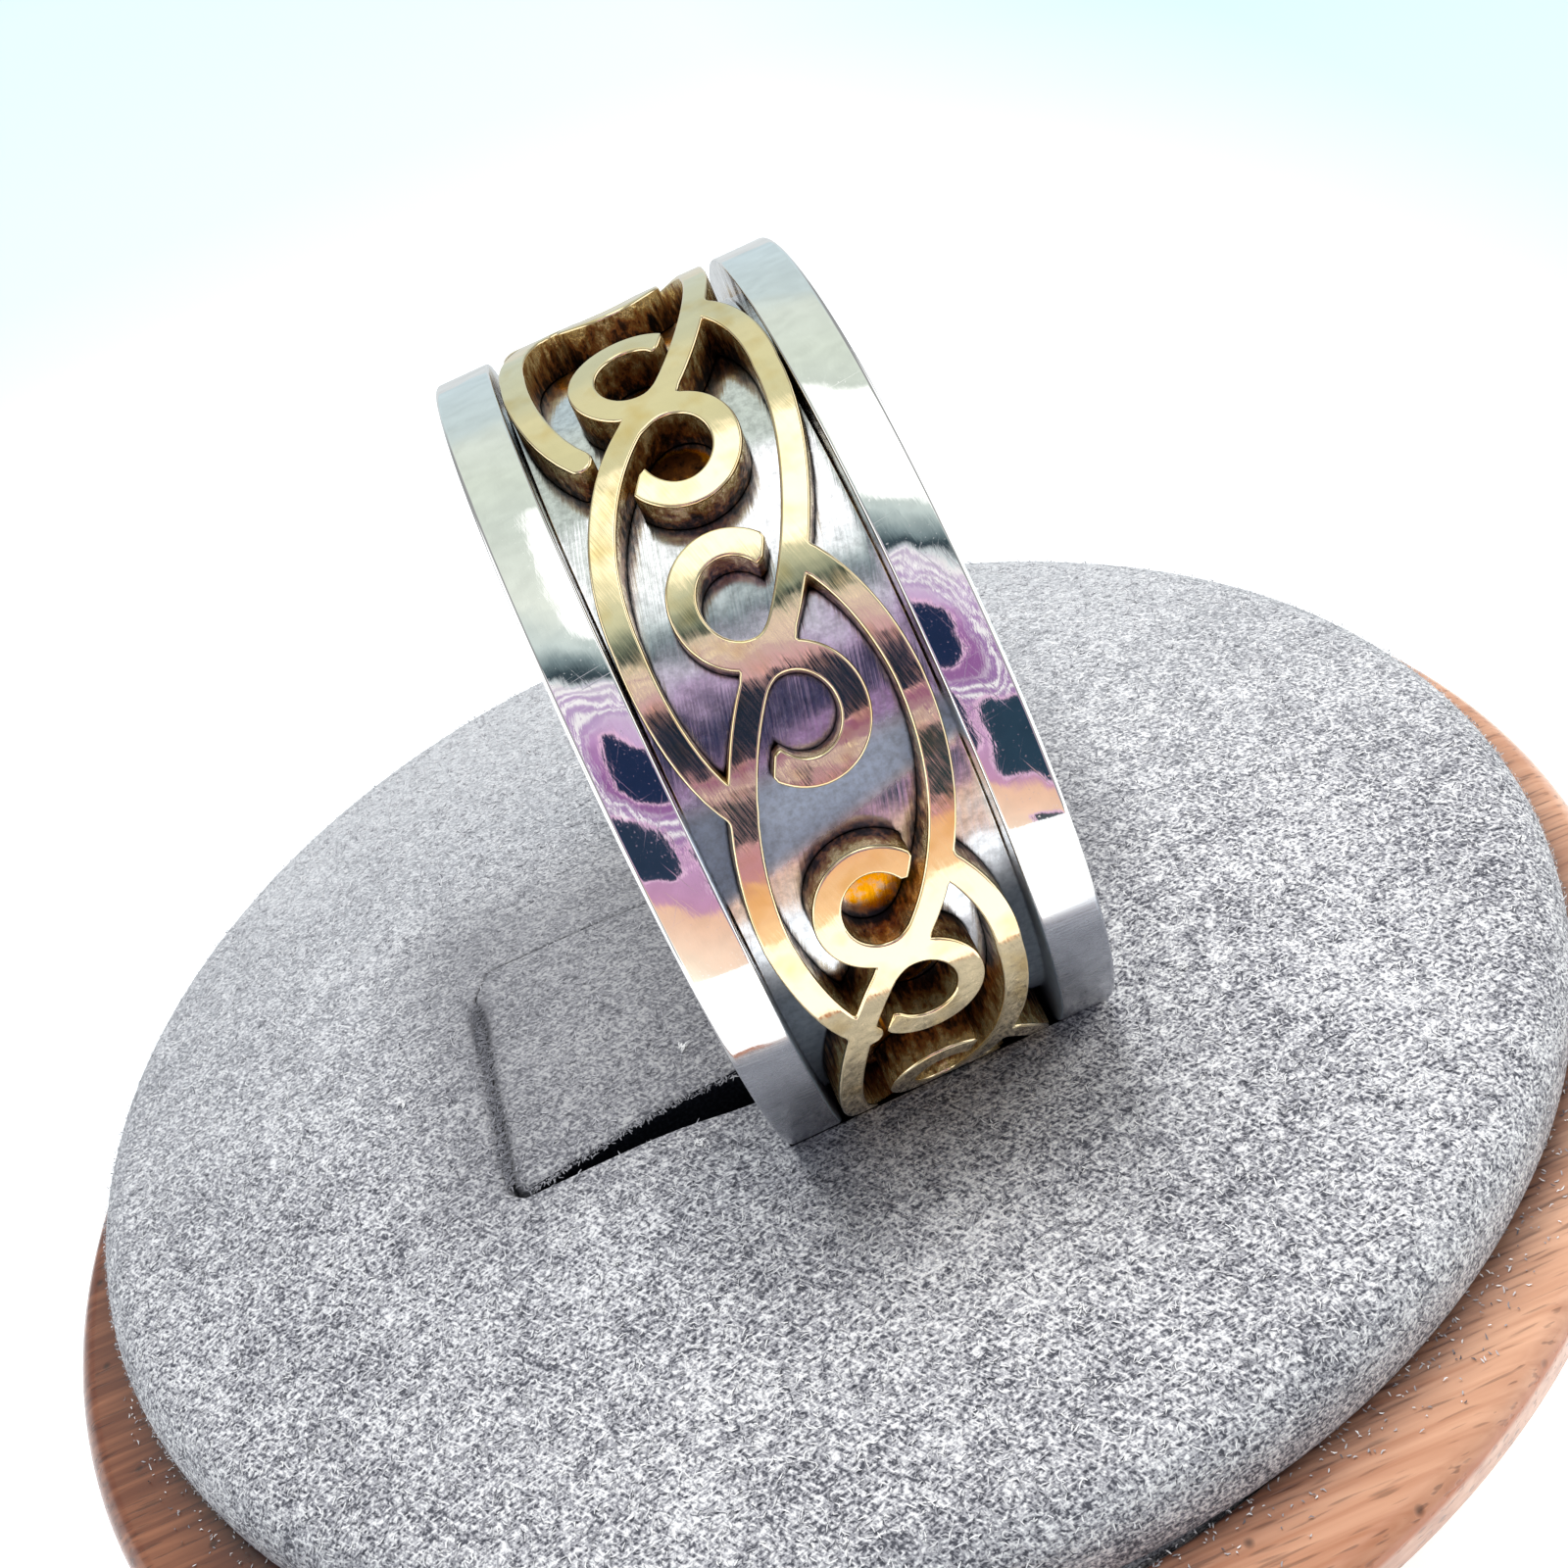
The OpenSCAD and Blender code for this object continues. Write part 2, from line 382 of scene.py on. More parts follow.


# The same silver inside the channel, brushed and not polished again: a satin sheet with streaks round
# the band, brown firescale where it meets the gold, and a painted dark line of shade at the gold's foot
floorFinish = {
    # from clean, through amber where gold solder has run over it, to black firescale
    "stains": [(0.06, "#EDEEF0"), (0.3, "#FBAA06"), (0.62, "#6B3F1C"), (0.95, "#150D0A")],
    "stainUneven": (0.7, 1.3),
    "beside": "#150D0A",       # painted shade: the dark line in the corner beside the gold
    # painted reflection: a pale blue patch across the channel
    "blueReflection": "#DCE9FF",
    # painted shade in the narrow gaps beside the gold, near the felt
    "gapShade": "#84909C",
    "film": (0.32, 0.6, 0.66, 1.0),     # a patchy grey film: the pattern's values, and the shade
    "roughness": (0.06, 0.26),
    "stainRoughness": 0.35,    # added where it is stained
    "mattRoughness": 0.4,      # added under the painted shade in the side gaps and the painted blue reflection, which also hide the metal
    "mattMetallic": 0.2,
    "streakAngle": -12,
    "streakSize": (2.4, 0.07, 1),
    "streakDepth": 0.003,
    "waveSize": 1.6,
    "waveHeight": 0.05,
    "mottleSize": 0.25,
    "shadeLineReach": (0.018, 0.108),   # mm from the gold that the painted shade line reaches
}


def brushedSilver():
    look = floorFinish
    material, add = newMaterial("brushed_silver_channel")
    streaks = grains(add, onRing, look["streakSize"], look["streakAngle"])
    waves = grains(add, onRing, look["waveSize"], detail=1.0)
    mottle = grains(add, onRing, look["mottleSize"], detail=3.0, Roughness=0.7)
    nearGold, tarnish, matt = (add("Attribute", output="Fac", attribute_name=name)
                               for name in ("nearGold", "tarnish", "matt"))
    # the painted blue reflection and the painted shade in the side gaps, as a colour
    tint = add("Attribute", output="Color", attribute_name="tint")
    # painted shade: a dark line on the floor along the foot of the gold
    reach = add("MapRange", (mottle, *noiseRange, *look["shadeLineReach"]))
    edge = add("MapRange", (nearGold, 0.0, reach, 1.0, 0.0))
    uneven = add("MapRange", (mottle, *noiseRange, *look["stainUneven"]))
    stain = add("Math", (tarnish, uneven), operation="MULTIPLY")
    colour = add("ValToRGB", (stain,), look["stains"])
    colour = add("Mix", {0: edge, 6: colour, 7: look["beside"]}, **colourMix)
    for over in (add("MapRange", (mottle, *look["film"])), tint):
        colour = add("Mix", {0: 1.0, 6: colour, 7: over}, **colourMix, blend_type="MULTIPLY")
    roughness = add("MapRange", (streaks, 0, 1, *look["roughness"]))
    for amount, more in ((stain, look["stainRoughness"]), (matt, look["mattRoughness"])):
        more = add("Math", (amount, more), operation="MULTIPLY")
        roughness = add("Math", (roughness, more), operation="ADD")
    wavy = add("Bump", {"Height": waves, "Distance": look["waveHeight"] * mm})
    return surfaced(material, {
        "Metallic": add("MapRange", (matt, 0, 1, 1, look["mattMetallic"])),
        "Base Color": colour,
        "Roughness": roughness,
        "Normal": add("Bump", {"Height": streaks, "Distance": look["streakDepth"] * mm, "Normal": wavy}),
    })


# Nine carat gold, rubbed flat with fine paper and burnished: a pale yellow satin mirror
# with short streaks and shallow dents
goldFinish = {
    "tones": [(0.28, "#F2D69C"), (0.5, "#FBE8BD")],     # warm in the dents
    "roughness": (0.04, 0.15),
    "streakAngle": 14,
    "streakSize": (0.9, 0.045, 1),
    "streakDepth": 0.0007,
    "dentSize": 0.9,
    "dentDepth": 0.011,
}


def burnishedGold():
    look = goldFinish
    material, add = newMaterial("burnished_gold_face")
    streaks = grains(add, onRing, look["streakSize"], look["streakAngle"])
    dents = grains(add, onRing, look["dentSize"])
    dented = add("Bump", {"Height": dents, "Distance": look["dentDepth"] * mm})
    return surfaced(material, {
        "Metallic": 1,
        "Base Color": add("ValToRGB", (dents,), look["tones"]),
        "Roughness": add("MapRange", (streaks, *noiseRange, *look["roughness"])),
        "Normal": add("Bump", {"Height": streaks, "Distance": look["streakDepth"] * mm,
                               "Normal": dented}),
    })


# The wire's sides, left as sawn and soldered: upright file marks under a mottled brown
# patina that is darkest at the foot
sideFinish = {
    # the patina from the top edge down to the foot
    "patina": [(0.05, "#E6CE92"), (0.3, "#A9854A"), (0.5, "#9A6230"), (0.72, "#553820"),
               (0.97, "#110B08")],
    "metallic": 0.7,           # the patina hides some of the metal
    "roughness": (0.24, 0.5),
    "markSize": (0.1, 0.1, 1.2),
    "markDepth": 0.012,
    "crustSize": (0.26, 0.26, 0.45),
    "crustDepth": 0.05,        # height of the lumps of patina
    "uneven": (-0.55, 0.5),    # how far up and down the patina's colours wander, in mm
}


def patinatedGold():
    look = sideFinish
    material, add = newMaterial("patinated_gold_side")
    depth = add("SeparateXYZ", (onRing(add)[0],), output="Z")
    crust = grains(add, onRing, look["crustSize"], detail=3.0, Roughness=0.7)
    marks = grains(add, onRing, look["markSize"])
    uneven = add("MapRange", (crust, *noiseRange, *look["uneven"]))
    level = add("Math", (depth, uneven), operation="ADD")
    crusted = add("Bump", {"Height": crust, "Distance": look["crustDepth"] * mm})
    return surfaced(material, {
        "Metallic": look["metallic"],
        "Base Color": add("ValToRGB", (level,), look["patina"]),
        "Roughness": add("MapRange", (level, 0, 1, *look["roughness"])),
        "Normal": add("Bump", {"Height": marks, "Distance": look["markDepth"] * mm, "Normal": crusted}),
    })


# Pressed wool felt, grey from light and dark fibres mixed: matt and flecked, with a nap
feltFinish = {
    "dark": "#55565D",
    "middle": "#ACACB1",
    "light": "#F6F6F5",
    "even": "#C6C9CB",         # towards the back it is combed flat and even
    "evenFrom": (-4, 16),      # mm along Y
    "evenMost": 0.7,
    "paintedShade": "#68686C",      # painted shade: darker on the tongue and round the ring
    "creaseShade": (0.8, 1.45, 1.0, 0.4),    # painted shade in the left slit's valley: where the painted shade is more than this, the felt also gets darker
    "fibreAngles": (12, -48),
    "fibreSize": (0.36, 0.06, 0.06),    # clumps of wool; single fibres are 0.02 to 0.03 mm
    "fleckSize": 0.1,
    "clumps": ((0.7, 0.14), (4.0, 0.08)),   # size in mm and strength
    "fibreDepth": 0.07,
    # painted shade for the walls deep in the cuts
    "cutShade": "#0D0F16",
    "cutShadeFlecks": "#24262D",
}


def woolFelt():
    look = feltFinish
    material, add = newMaterial("grey_wool_felt")
    fibres = [grains(add, onStand, look["fibreSize"], angle, 1.0) for angle in look["fibreAngles"]]
    fibres = add("Math", fibres, operation="MAXIMUM")
    flecks = grains(add, onStand, look["fleckSize"], detail=1.0, Roughness=0.6)
    mixed = shade = add("Mix", {0: 0.5, 2: fibres, 3: flecks})
    for size, strength in look["clumps"]:
        clump = add("Math", (grains(add, onStand, size, detail=1.0), strength), operation="MULTIPLY")
        shade = add("Math", (shade, clump), operation="ADD")
    colour = add("ValToRGB", (shade,), [
        (0.53, look["dark"]), (0.63, look["middle"]), (0.75, look["light"])])
    back = add("SeparateXYZ", (onStand(add)[0],), output="Y")
    start, end = look["evenFrom"]
    even = add("MapRange", (back, start * mm, end * mm, 0.0, look["evenMost"]))
    # painted shade on the felt: darker on the tongue, round the ring and along the left slit
    paintedShade = add("Attribute", output="Fac", attribute_name="paintedShade")
    for amount, over in ((even, look["even"]), (paintedShade, look["paintedShade"])):
        colour = add("Mix", {0: amount, 6: colour, 7: over}, **colourMix)
    # painted shade: the valley along the left slit is multiplied darker
    creaseShade = add("MapRange", (paintedShade, *look["creaseShade"]))
    return surfaced(material, {
        "Base Color": add("Mix", {0: 1.0, 6: colour, 7: creaseShade}, **colourMix, blend_type="MULTIPLY"),
        "Roughness": 0.95, "Specular IOR Level": 0.2, "Sheen Weight": 0.25, "Sheen Roughness": 0.4,
        "Normal": add("Bump", {"Height": mixed, "Distance": look["fibreDepth"] * mm, "Strength": 0.9}),
    })


# Painted shade on the felt's walls deep in the cuts, in the slits and where the ring sits: nearly black,
# with a short rough pile
def cutShadeMaterial():
    look = feltFinish
    material, add = newMaterial("felt_cut_painted_shade")
    flecks = grains(add, onStand, look["fleckSize"])
    return surfaced(material, {
        "Base Color": add("ValToRGB", (flecks,), [(0.45, look["cutShade"]), (0.8, look["cutShadeFlecks"])]),
        "Roughness": 0.95, "Specular IOR Level": 0.1,
    })


# The same wool as loose fibres on the pad: each one is lighter or darker than the next
def looseWool():
    look = feltFinish
    material, add = newMaterial("loose_wool_fibre")
    shade = add("Attribute", output="Fac", attribute_name="shade")
    return surfaced(material, {
        "Base Color": add("ValToRGB", (shade,), [
            (0.0, look["dark"]), (0.5, look["middle"]), (1.0, look["light"])]),
        "Roughness": 0.8, "Specular IOR Level": 0.3, "Sheen Weight": 0.2,
    })


# A close-grained hardwood, turned, stained and varnished: reddish brown with straight dark
# grain, open pores and a soft gloss
woodFinish = {
    "tones": [(0.3, "#6A3A26"), (0.5, "#AD7252"), (0.78, "#E6B494")],
    "paintedSideLight": (-16, 14, 0.17),     # partly the wood's own tone, partly painted light on the right and painted shade on the left: from here to here along X the grain gets lighter, by how much
    # values of a pattern, lowest and highest, and what these become
    "grainTone": (0.2, 0.8, 0.36, 0.64),
    "poreTone": (0.3, 0.4, 0.62, 1.0),
    "pitTone": (0.05, 0.12, 0.3, 1.0),
    "dirtTone": (0.3, 0.6, 1.0, 0.7),
    "grainSize": (9.0, 0.35, 0.35),
    "poreSize": (1.4, 0.12, 0.12),
    "pitSize": 1.3,
    "markDepth": 0.03,
    "soiledAndShaded": "#33191A",       # dirt, dye and painted shade beside the felt
    "edge": "#BC6630",         # where the varnish has worn off the rim's edge and been handled
}


def stainedWood():
    look = woodFinish
    material, add = newMaterial("varnished_hardwood")
    grain = grains(add, onStand, look["grainSize"], detail=4.0, Distortion=0.6)
    pores = grains(add, onStand, look["poreSize"], detail=1.0)
    place, unit = onStand(add)
    pits = add("TexVoronoi", {"Vector": place, "Scale": 1 / (look["pitSize"] * unit)})
    # painted light and shade: the wood gets lighter along X, towards the lamp on the right
    start, end, most = look["paintedSideLight"]
    along = add("SeparateXYZ", (place,), output="X")
    paintedLight = add("MapRange", (along, start * mm, end * mm, -most, most))
    level = add("Math", (add("MapRange", (grain, *look["grainTone"])), paintedLight), operation="ADD")
    marks = (add("MapRange", (pores, *look["poreTone"])), add("MapRange", (pits, *look["pitTone"])))
    marks = add("Math", marks, operation="MULTIPLY")
    colour = add("ValToRGB", (level,), look["tones"])
    colour = add("Mix", {0: 1.0, 6: colour, 7: marks}, **colourMix, blend_type="MULTIPLY")
    # dirt and painted shade beside the felt, where it overhangs the wood
    soiledAndShaded, worn = (add("Attribute", output="Fac", attribute_name=name) for name in ("soiledAndShaded", "worn"))
    dirt = add("MapRange", (pores, *look["dirtTone"]))
    soiledAndShaded = add("Math", (soiledAndShaded, dirt), operation="MULTIPLY")
    for amount, over in ((soiledAndShaded, look["soiledAndShaded"]), (worn, look["edge"])):
        colour = add("Mix", {0: amount, 6: colour, 7: over}, **colourMix)
    return surfaced(material, {
        "Base Color": colour, "Roughness": 0.42, "Coat Weight": 0.6, "Coat Roughness": 0.14,
        "Normal": add("Bump", {"Height": marks, "Distance": look["markDepth"] * mm}),
    })


silverMirror, silverFloor = polishedSilver(), brushedSilver()
goldFace, goldSide = burnishedGold(), patinatedGold()
felt, cutShade, fibre = woolFelt(), cutShadeMaterial(), looseWool()
wood = stainedWood()
print("materials made")


# Scrollwork: a field of distances to the flat gold wire, cut out as a sheet and given its depth
scroll = {
    "units": 9,
    "firstUnit": -2,
    "firstWaist": -0.81,       # where unit 0 crosses itself
    "unitReach": 10.5,         # no unit reaches further than this from its waist
    "across": 3.1,             # half width of the field
    "barWidth": 0.62,
    "barBulge": ((0.15, -0.16), (0, 3.53), (0.90, -1.36)),     # how the two halves of a bar are bent
    "curlWidth": 0.65,
    "curlHalf": (1.1, 1.23),   # a curl's centre line, half across and half along the band
    "curlCentre": (-0.11, 1.36),
    "curlFromTo": (12, 297),   # degrees of its open arc
    "freeGap": 0.3,            # from a curl's free end to the bar
    "fillet": 0.12,            # solder in the corners
    "edge": 0.07,              # bevel round the faces
    "lowRadius": 9.53,
    "grid": 0.1,
}
# Half a bar from the crossing: widest reach, how far along that is, and its tip across and along
plainHalf = (2.45, 5.8, 1.68, 9.15)
# Units bent by hand, unlike the rest: unit: (shift along the band, left half, right half)
handMade = {
    -2: (0.00, (2.55, 4.91, 1.88, 8.80), plainHalf),
    -1: (0.82, (2.57, 5.37, 1.84, 9.20), (2.32, 5.78, 1.68, 9.15)),
    0: (0.00, (2.36, 5.78, 1.39, 9.52), (2.62, 6.27, 1.94, 9.34)),
    1: (0.03, (2.46, 5.69, 1.68, 9.15), (2.42, 5.72, 1.56, 8.86)),
    2: (0.00, plainHalf, (2.20, 6.13, 1.53, 9.07)),
}


# Each unit, where it crosses itself and its left and right halves
def scrollUnits():
    for unit in range(scroll["firstUnit"], scroll["firstUnit"] + scroll["units"]):
        shift, left, right = handMade.get(unit, (0, plainHalf, plainHalf))
        yield unit, scroll["firstWaist"] + unit * girth / scroll["units"] + shift, left, right


def halfBar(row):
    turn, tip = np.array(row[:2]), np.array(row[2:])
    leaves, widens, ends = scroll["barBulge"]
    rise = cubic(np.zeros(2), leaves, turn - widens, turn, 24)
    fall = cubic(turn, turn, tip + ends, tip, 14)
    return np.vstack([rise, fall[1:]])


def unitField(points, waist, left, right):
    bar = np.minimum(*(distanceToLine(points, (0, waist) + halfBar(half) * way)
                       for half, way in ((right, (1, -1)), (left, (-1, 1)))))
    bar -= scroll["barWidth"] / 2
    whole = bar
    angle = np.linspace(*np.radians(scroll["curlFromTo"]), 40)
    arc = np.stack([np.cos(angle), -np.sin(angle)], -1) * scroll["curlHalf"]
    for side in (1, -1):
        line = side * (arc + np.multiply(scroll["curlCentre"], (1, -1))) + (0, waist)
        curl = distanceToLine(points, line) - scroll["curlWidth"] / 2
        trimmed = np.maximum(curl, scroll["freeGap"] - bar)
        nearFreeEnd = smoothStep(side * (waist - points[..., 1]), 1.2, 1.35)
        curl = np.where(side * points[..., 0] > 0, curl + (trimmed - curl) * nearFreeEnd, curl)
        whole = smoothMin(whole, curl, scroll["fillet"])
    return whole


def scrollField():
    us = placesRound(round(girth / scroll["grid"]))
    vs = np.arange(-scroll["across"], scroll["across"] + 1e-4, scroll["grid"])
    field = np.full((len(us), len(vs)), 1.0)
    step, reach = girth / len(us), scroll["unitReach"]
    for unit, waist, left, right in scrollUnits():
        first = math.floor((waist - reach - seamAt) / step)
        index = np.arange(first, first + round(2 * reach / step))
        points = np.stack(np.meshgrid(vs, seamAt + index * step), -1)
        index %= len(us)
        field[index] = smoothMin(field[index], unitField(points, waist, left, right), scroll["fillet"])
    return us, vs, field


scrollU, scrollV, scrollDistance = scrollField()
print("scroll field", scrollDistance.shape)


# How far a point of the channel is from the wire, read back from the field
def distanceToGold(u, v):
    nu, nv = scrollDistance.shape
    a = (u - seamAt) / girth * nu
    b = np.clip((v - scrollV[0]) / (scrollV[1] - scrollV[0]), 0, nv - 1.001)
    i, j = np.floor(a + 1e-6).astype(int), np.floor(b).astype(int)
    p, q = a - i, b - j
    low, high = (scrollDistance[row % nu, j] * (1 - q) + scrollDistance[row % nu, j + 1] * q
                 for row in (i, i + 1))
    return low * (1 - p) + high * p


# Solder and tarnish on the channel floor, from 0 for clean to 1 for black: inside the curls, by
# unit and curl (-1 above the crossing, 1 below), and where polish never reached
floorStains = {
    "curls": {(-2, 1): 0.6, (-1, -1): 0.62, (-1, 1): 0.75, (0, -1): 0.03, (0, 1): 0.0,
              (1, -1): 0.29, (1, 1): 0.9, (2, -1): 0.42, (2, 1): 0.55},
    "usual": 0.5,
    "reach": (0.62, 0.95),     # from a curl's centre to where its stain ends
    "above": (-12.2, -11.0, 0.55),
    "below": (9.2, 10.4, 0.42),
    "middle": (1.3, 2.0),      # stains above and below end this far from the channel's middle
    # a painted pale blue reflection across the channel: it starts and ends between these, slanting by a
    # share
    "blueReflection": ((1.3, 2.0), (3.0, 3.5), 0.25),
    # painted shade in the narrow gaps along the sides near the felt: how far from the middle, and how
    # far down the band
    "gapShade": ((1.9, 2.4), (5.2, 7.6)),
}


def floorTarnish(u, v):
    top, bottom = floorStains["above"], floorStains["below"]
    amount = np.maximum(top[2] * (1 - smoothStep(u, *top[:2])), bottom[2] * smoothStep(u, *bottom[:2]))
    amount = amount * (1 - smoothStep(np.abs(v), *floorStains["middle"]))
    centreV, centreU = scroll["curlCentre"]
    for unit, waist, *_ in scrollUnits():
        for side in (-1, 1):
            gap = (u - waist - side * centreU + girth / 2) % girth - girth / 2
            inside = 1 - smoothStep(np.hypot(gap, v - side * centreV), *floorStains["reach"])
            value = floorStains["curls"].get((unit, side), floorStains["usual"])
            amount = amount + (value - amount) * inside
    return amount


# The colour that the painted blue reflection and the painted shade in the side gaps give the silver, and
# how matt they leave it
def floorTint(u, v):
    start, end, slant = floorStains["blueReflection"]
    aside, down = floorStains["gapShade"]
    blueReflection = smoothStep(u, *start) * (1 - smoothStep(u + slant * v, *end))
    gapShade = smoothStep(np.abs(v), *aside) * smoothStep(u, *down)
    tint = np.ones((len(u), 3))
    for amount, colour in ((blueReflection, floorFinish["blueReflection"]), (gapShade, floorFinish["gapShade"])):
        tint *= 1 - amount[:, None] * (1 - np.array(hexColour(colour)[:3]))
    return tint, np.maximum(blueReflection, gapShade)


# The sheet's faces, with a bevel and walls down to the channel and a plain back
def makeScroll():
    edge, outer, low = scroll["edge"], ring["outerRadius"], scroll["lowRadius"]
    us, vs, field = scrollU, scrollV, scrollDistance
    grid, cut, faces, outline, atOutline = cutSheet(us, vs, field + edge, girth)
    slope = atOutline(np.stack([
        (np.roll(field, -1, 0) - np.roll(field, 1, 0)) / (2 * (us[1] - us[0])),
        np.gradient(field, vs[1] - vs[0], axis=1)], -1))
    slope /= np.linalg.norm(slope, axis=1)[:, None] + 1e-9
    # rows of points: offset outwards, radius, how many quarter turns the normal has tipped over
    wall = [(0, outer, 0), (edge * 0.7, outer - edge * 0.3, 0.5)]
    wall += [(edge, low + (outer - edge - low) * t, 1) for t in (1, 0.67, 0.33, 0)]
    rows = [(grid, 0 * grid, 0, outer, 0), *((cut, slope, *row) for row in wall),
            (grid, 0 * grid, 0, low, 2)]
    u, v = np.concatenate([points + out * offset for points, out, offset, _, _ in rows]).T
    nu, nv = np.concatenate([out * math.sin(tip * quarterTurn) for _, out, _, _, tip in rows]).T
    radius, nr = np.concatenate([
        np.tile([radius, math.cos(tip * quarterTurn)], (len(points), 1))
        for points, _, _, radius, tip in rows]).T
    sheet, walls = shellFaces(len(grid), len(cut), faces, outline, len(wall))
    bevelled = 2 * len(outline)
    kinds = [0] * len(faces) + [1] * len(faces) + [0] * bevelled + [1] * (len(walls) - bevelled)
    piece = newPiece("gold_scroll", bendRound(u, v, radius), sheet + walls, [goldFace, goldSide],
                     kinds, bendNormal(u, nu, nv, nr), {"flat": np.stack([u, v, outer - radius], -1)})
    standFor(piece, "scroll")


makeScroll()
print("scroll made")


# The band: a liner with two rims soldered on, polished outside and in
band = {
    "stepsRound": 720,
    "outerEdge": 0.12,
    "channelEdge": 0.07,
    "floorCorner": 0.05,
    "boreEdge": 0.25,
    "floorSteps": 48,
    "rimCrown": 4.0,           # degrees that a rim's face rolls over towards its edges
    "rubbedAndShaded": (7.1, 7.7),      # the felt has dulled the rims below this, and they are greyed there as painted shade
    # the floor is dished here by the hammer: how steeply in degrees, and where it starts and ends
    "dish": (9, (1.5, 2.0), (2.5, 3.1)),
}


def makeBand():
    half, channel = ring["width"] / 2, ring["channelWidth"] / 2
    outer, bore, floor = ring["outerRadius"], ring["boreRadius"], ring["floorRadius"]
    u, radius, v, nr, nv, faces, kinds = turnRound([
        (bore, half, band["boreEdge"], 6, 0),
        (bore, -half, band["boreEdge"], 2, 0),
        (outer, -half, band["outerEdge"], 3, 0),
        (outer, -channel, band["channelEdge"], 2, 1),
        (floor, -channel, band["floorCorner"], band["floorSteps"], 1),
        (floor, channel, band["floorCorner"], 2, 1),
        (outer, channel, band["channelEdge"], 3, 0),
        (outer, half, band["outerEdge"], 2, 0),
    ], placesRound(band["stepsRound"]))
    rolled = (2 * np.abs(v) - half - channel) / (half - channel) * np.sign(v)
    onRim = (nr > 0.99) & (radius > outer - 0.01)
    nv += rolled * math.tan(math.radians(band["rimCrown"])) * onRim
    nr, nv = np.stack([nr, nv]) / np.hypot(nr, nv)
    degrees, start, end = band["dish"]
    onFloor = (radius < floor + 0.01) & (np.abs(v) < channel - 0.1) & (nr > 0.99)
    dished = math.tan(math.radians(degrees)) * smoothStep(u, *start) * (1 - smoothStep(u, *end))
    tint, matt = floorTint(u, v)
    piece = newPiece("silver_band", bendRound(u, v, radius), faces, [silverMirror, silverFloor],
                     kinds, bendNormal(u, dished * onFloor, nv, nr), {
                         "flat": np.stack([u, v, outer - radius], -1),
                         "nearGold": distanceToGold(u, v), "tarnish": floorTarnish(u, v),
                         "tint": tint, "matt": matt, "rubbedAndShaded": smoothStep(u, *band["rubbedAndShaded"])})
    standFor(piece, "band")


makeBand()
print("band made")


# The felt pad: a low dome with a tongue cut in it. Pressed by hand, it is a little longer one
# way than the other, and it overhangs the recess that holds its neck.
padLow, padHigh = nodeBox("pad")
_, baseHigh = nodeBox("base")
pad = {
    "centre": (0.08, 0.8),
    "radius": (padHigh[0] - padLow[0]) / 2,
    "longer": 0.036,           # share that it is longer and narrower by
    "longerAt": -20.6,         # degrees from +X
    "rim": baseHigh[2],
    "under": padLow[2],
    "neck": 19.2,              # radius of what stands in the recess, from the base's axis
    "crown": baseHigh[2] + 3.9,
    "edgeRise": 2.45,          # height of the shoulder above the wooden rim
    "shoulder": 1.45,
    "flatness": 2.6,           # the dome's power: higher is flatter in the middle
    "footRound": 0.3,
    "footGap": 0.02,           # from the overhanging felt to the wood
    # lines of the sheet's grid: from, to and spacing, closer together beside the slits
    "gridX": [(-22, -9.2, 0.4), (-9.2, -7.4, 0.1), (-7.4, 7, 0.25), (7, 22.2, 0.4)],
    "gridY": [(-22, -6.6, 0.4), (-6.6, -4.8, 0.1), (-4.8, 2.0, 0.3), (2.0, 4, 0.1), (4, 22.2, 0.4)],
    "tongueX": (-8.35, 7.2),
    "tongueY": (-5.62, 3.25),
    "slits": (0.02, 0.03, 0.05, 0.6),  # half widths: the back, the two front corners, at the ring
    "openAt": (-8.35, -1.6),   # the front slit widens between these
    # rounded edges: of the back slit, the left one, and the front one's far and near sides
    "lips": (0.1, 0.32, 0.55, 0.12),
    "frontLip": (4.0, 5.0),    # the lip grows between these towards the front
    "ringGap": 0.03,
    # where the ring presses the felt down: middle, half sizes and depth
    "dimples": [((2.75, -6.5), (4.4, 1.3), 0.3), ((2.75, 6.5), (4.4, 1.3), 0.35)],
    "dimpleReach": 1.7,
    # painted shade, darker on the tongue and round the ring: middle, half sizes, reach and amount
    "paintedShade": [((-4.5, 0.2), (3.2, 4.0), 5.0, 0.6), ((4.2, 2.8), (3.6, 4.2), 4.2, 0.6)],
    # painted shade in the soft valley along the left slit: how wide, how dark, and its darkest place and
    # reach
    "creaseShade": (0.28, 0.33, 1.0, 0.9),
    "creaseMost": (0.85, 1.45),
}


def padReach(x, y):
    turn = np.arctan2(y, x) - math.radians(pad["longerAt"])
    return pad["radius"] * (1 + pad["longer"] * np.cos(2 * turn))


# How far a point is outside the pad's outline
def pastPad(points):
    dx, dy = np.moveaxis(points[..., :2] - pad["centre"], -1, 0)
    return np.hypot(dx, dy) - padReach(dx, dy)


def awayFromBox(x, y, middle, half):
    past = (np.maximum(abs(c - at) - reach, 0) for c, at, reach in zip((x, y), middle, half))
    return np.hypot(*past)


def padHeight(x, y):
    dx, dy = x - pad["centre"][0], y - pad["centre"][1]
    share = np.hypot(dx, dy) / (padReach(dx, dy) - pad["shoulder"])
    drop = pad["crown"] - pad["rim"] - pad["edgeRise"]
    height = pad["crown"] - drop * np.minimum(share, 1.1) ** pad["flatness"]
    for middle, half, depth in pad["dimples"]:
        height = height - depth * np.exp(-(awayFromBox(x, y, middle, half) / pad["dimpleReach"]) ** 2)
    return height


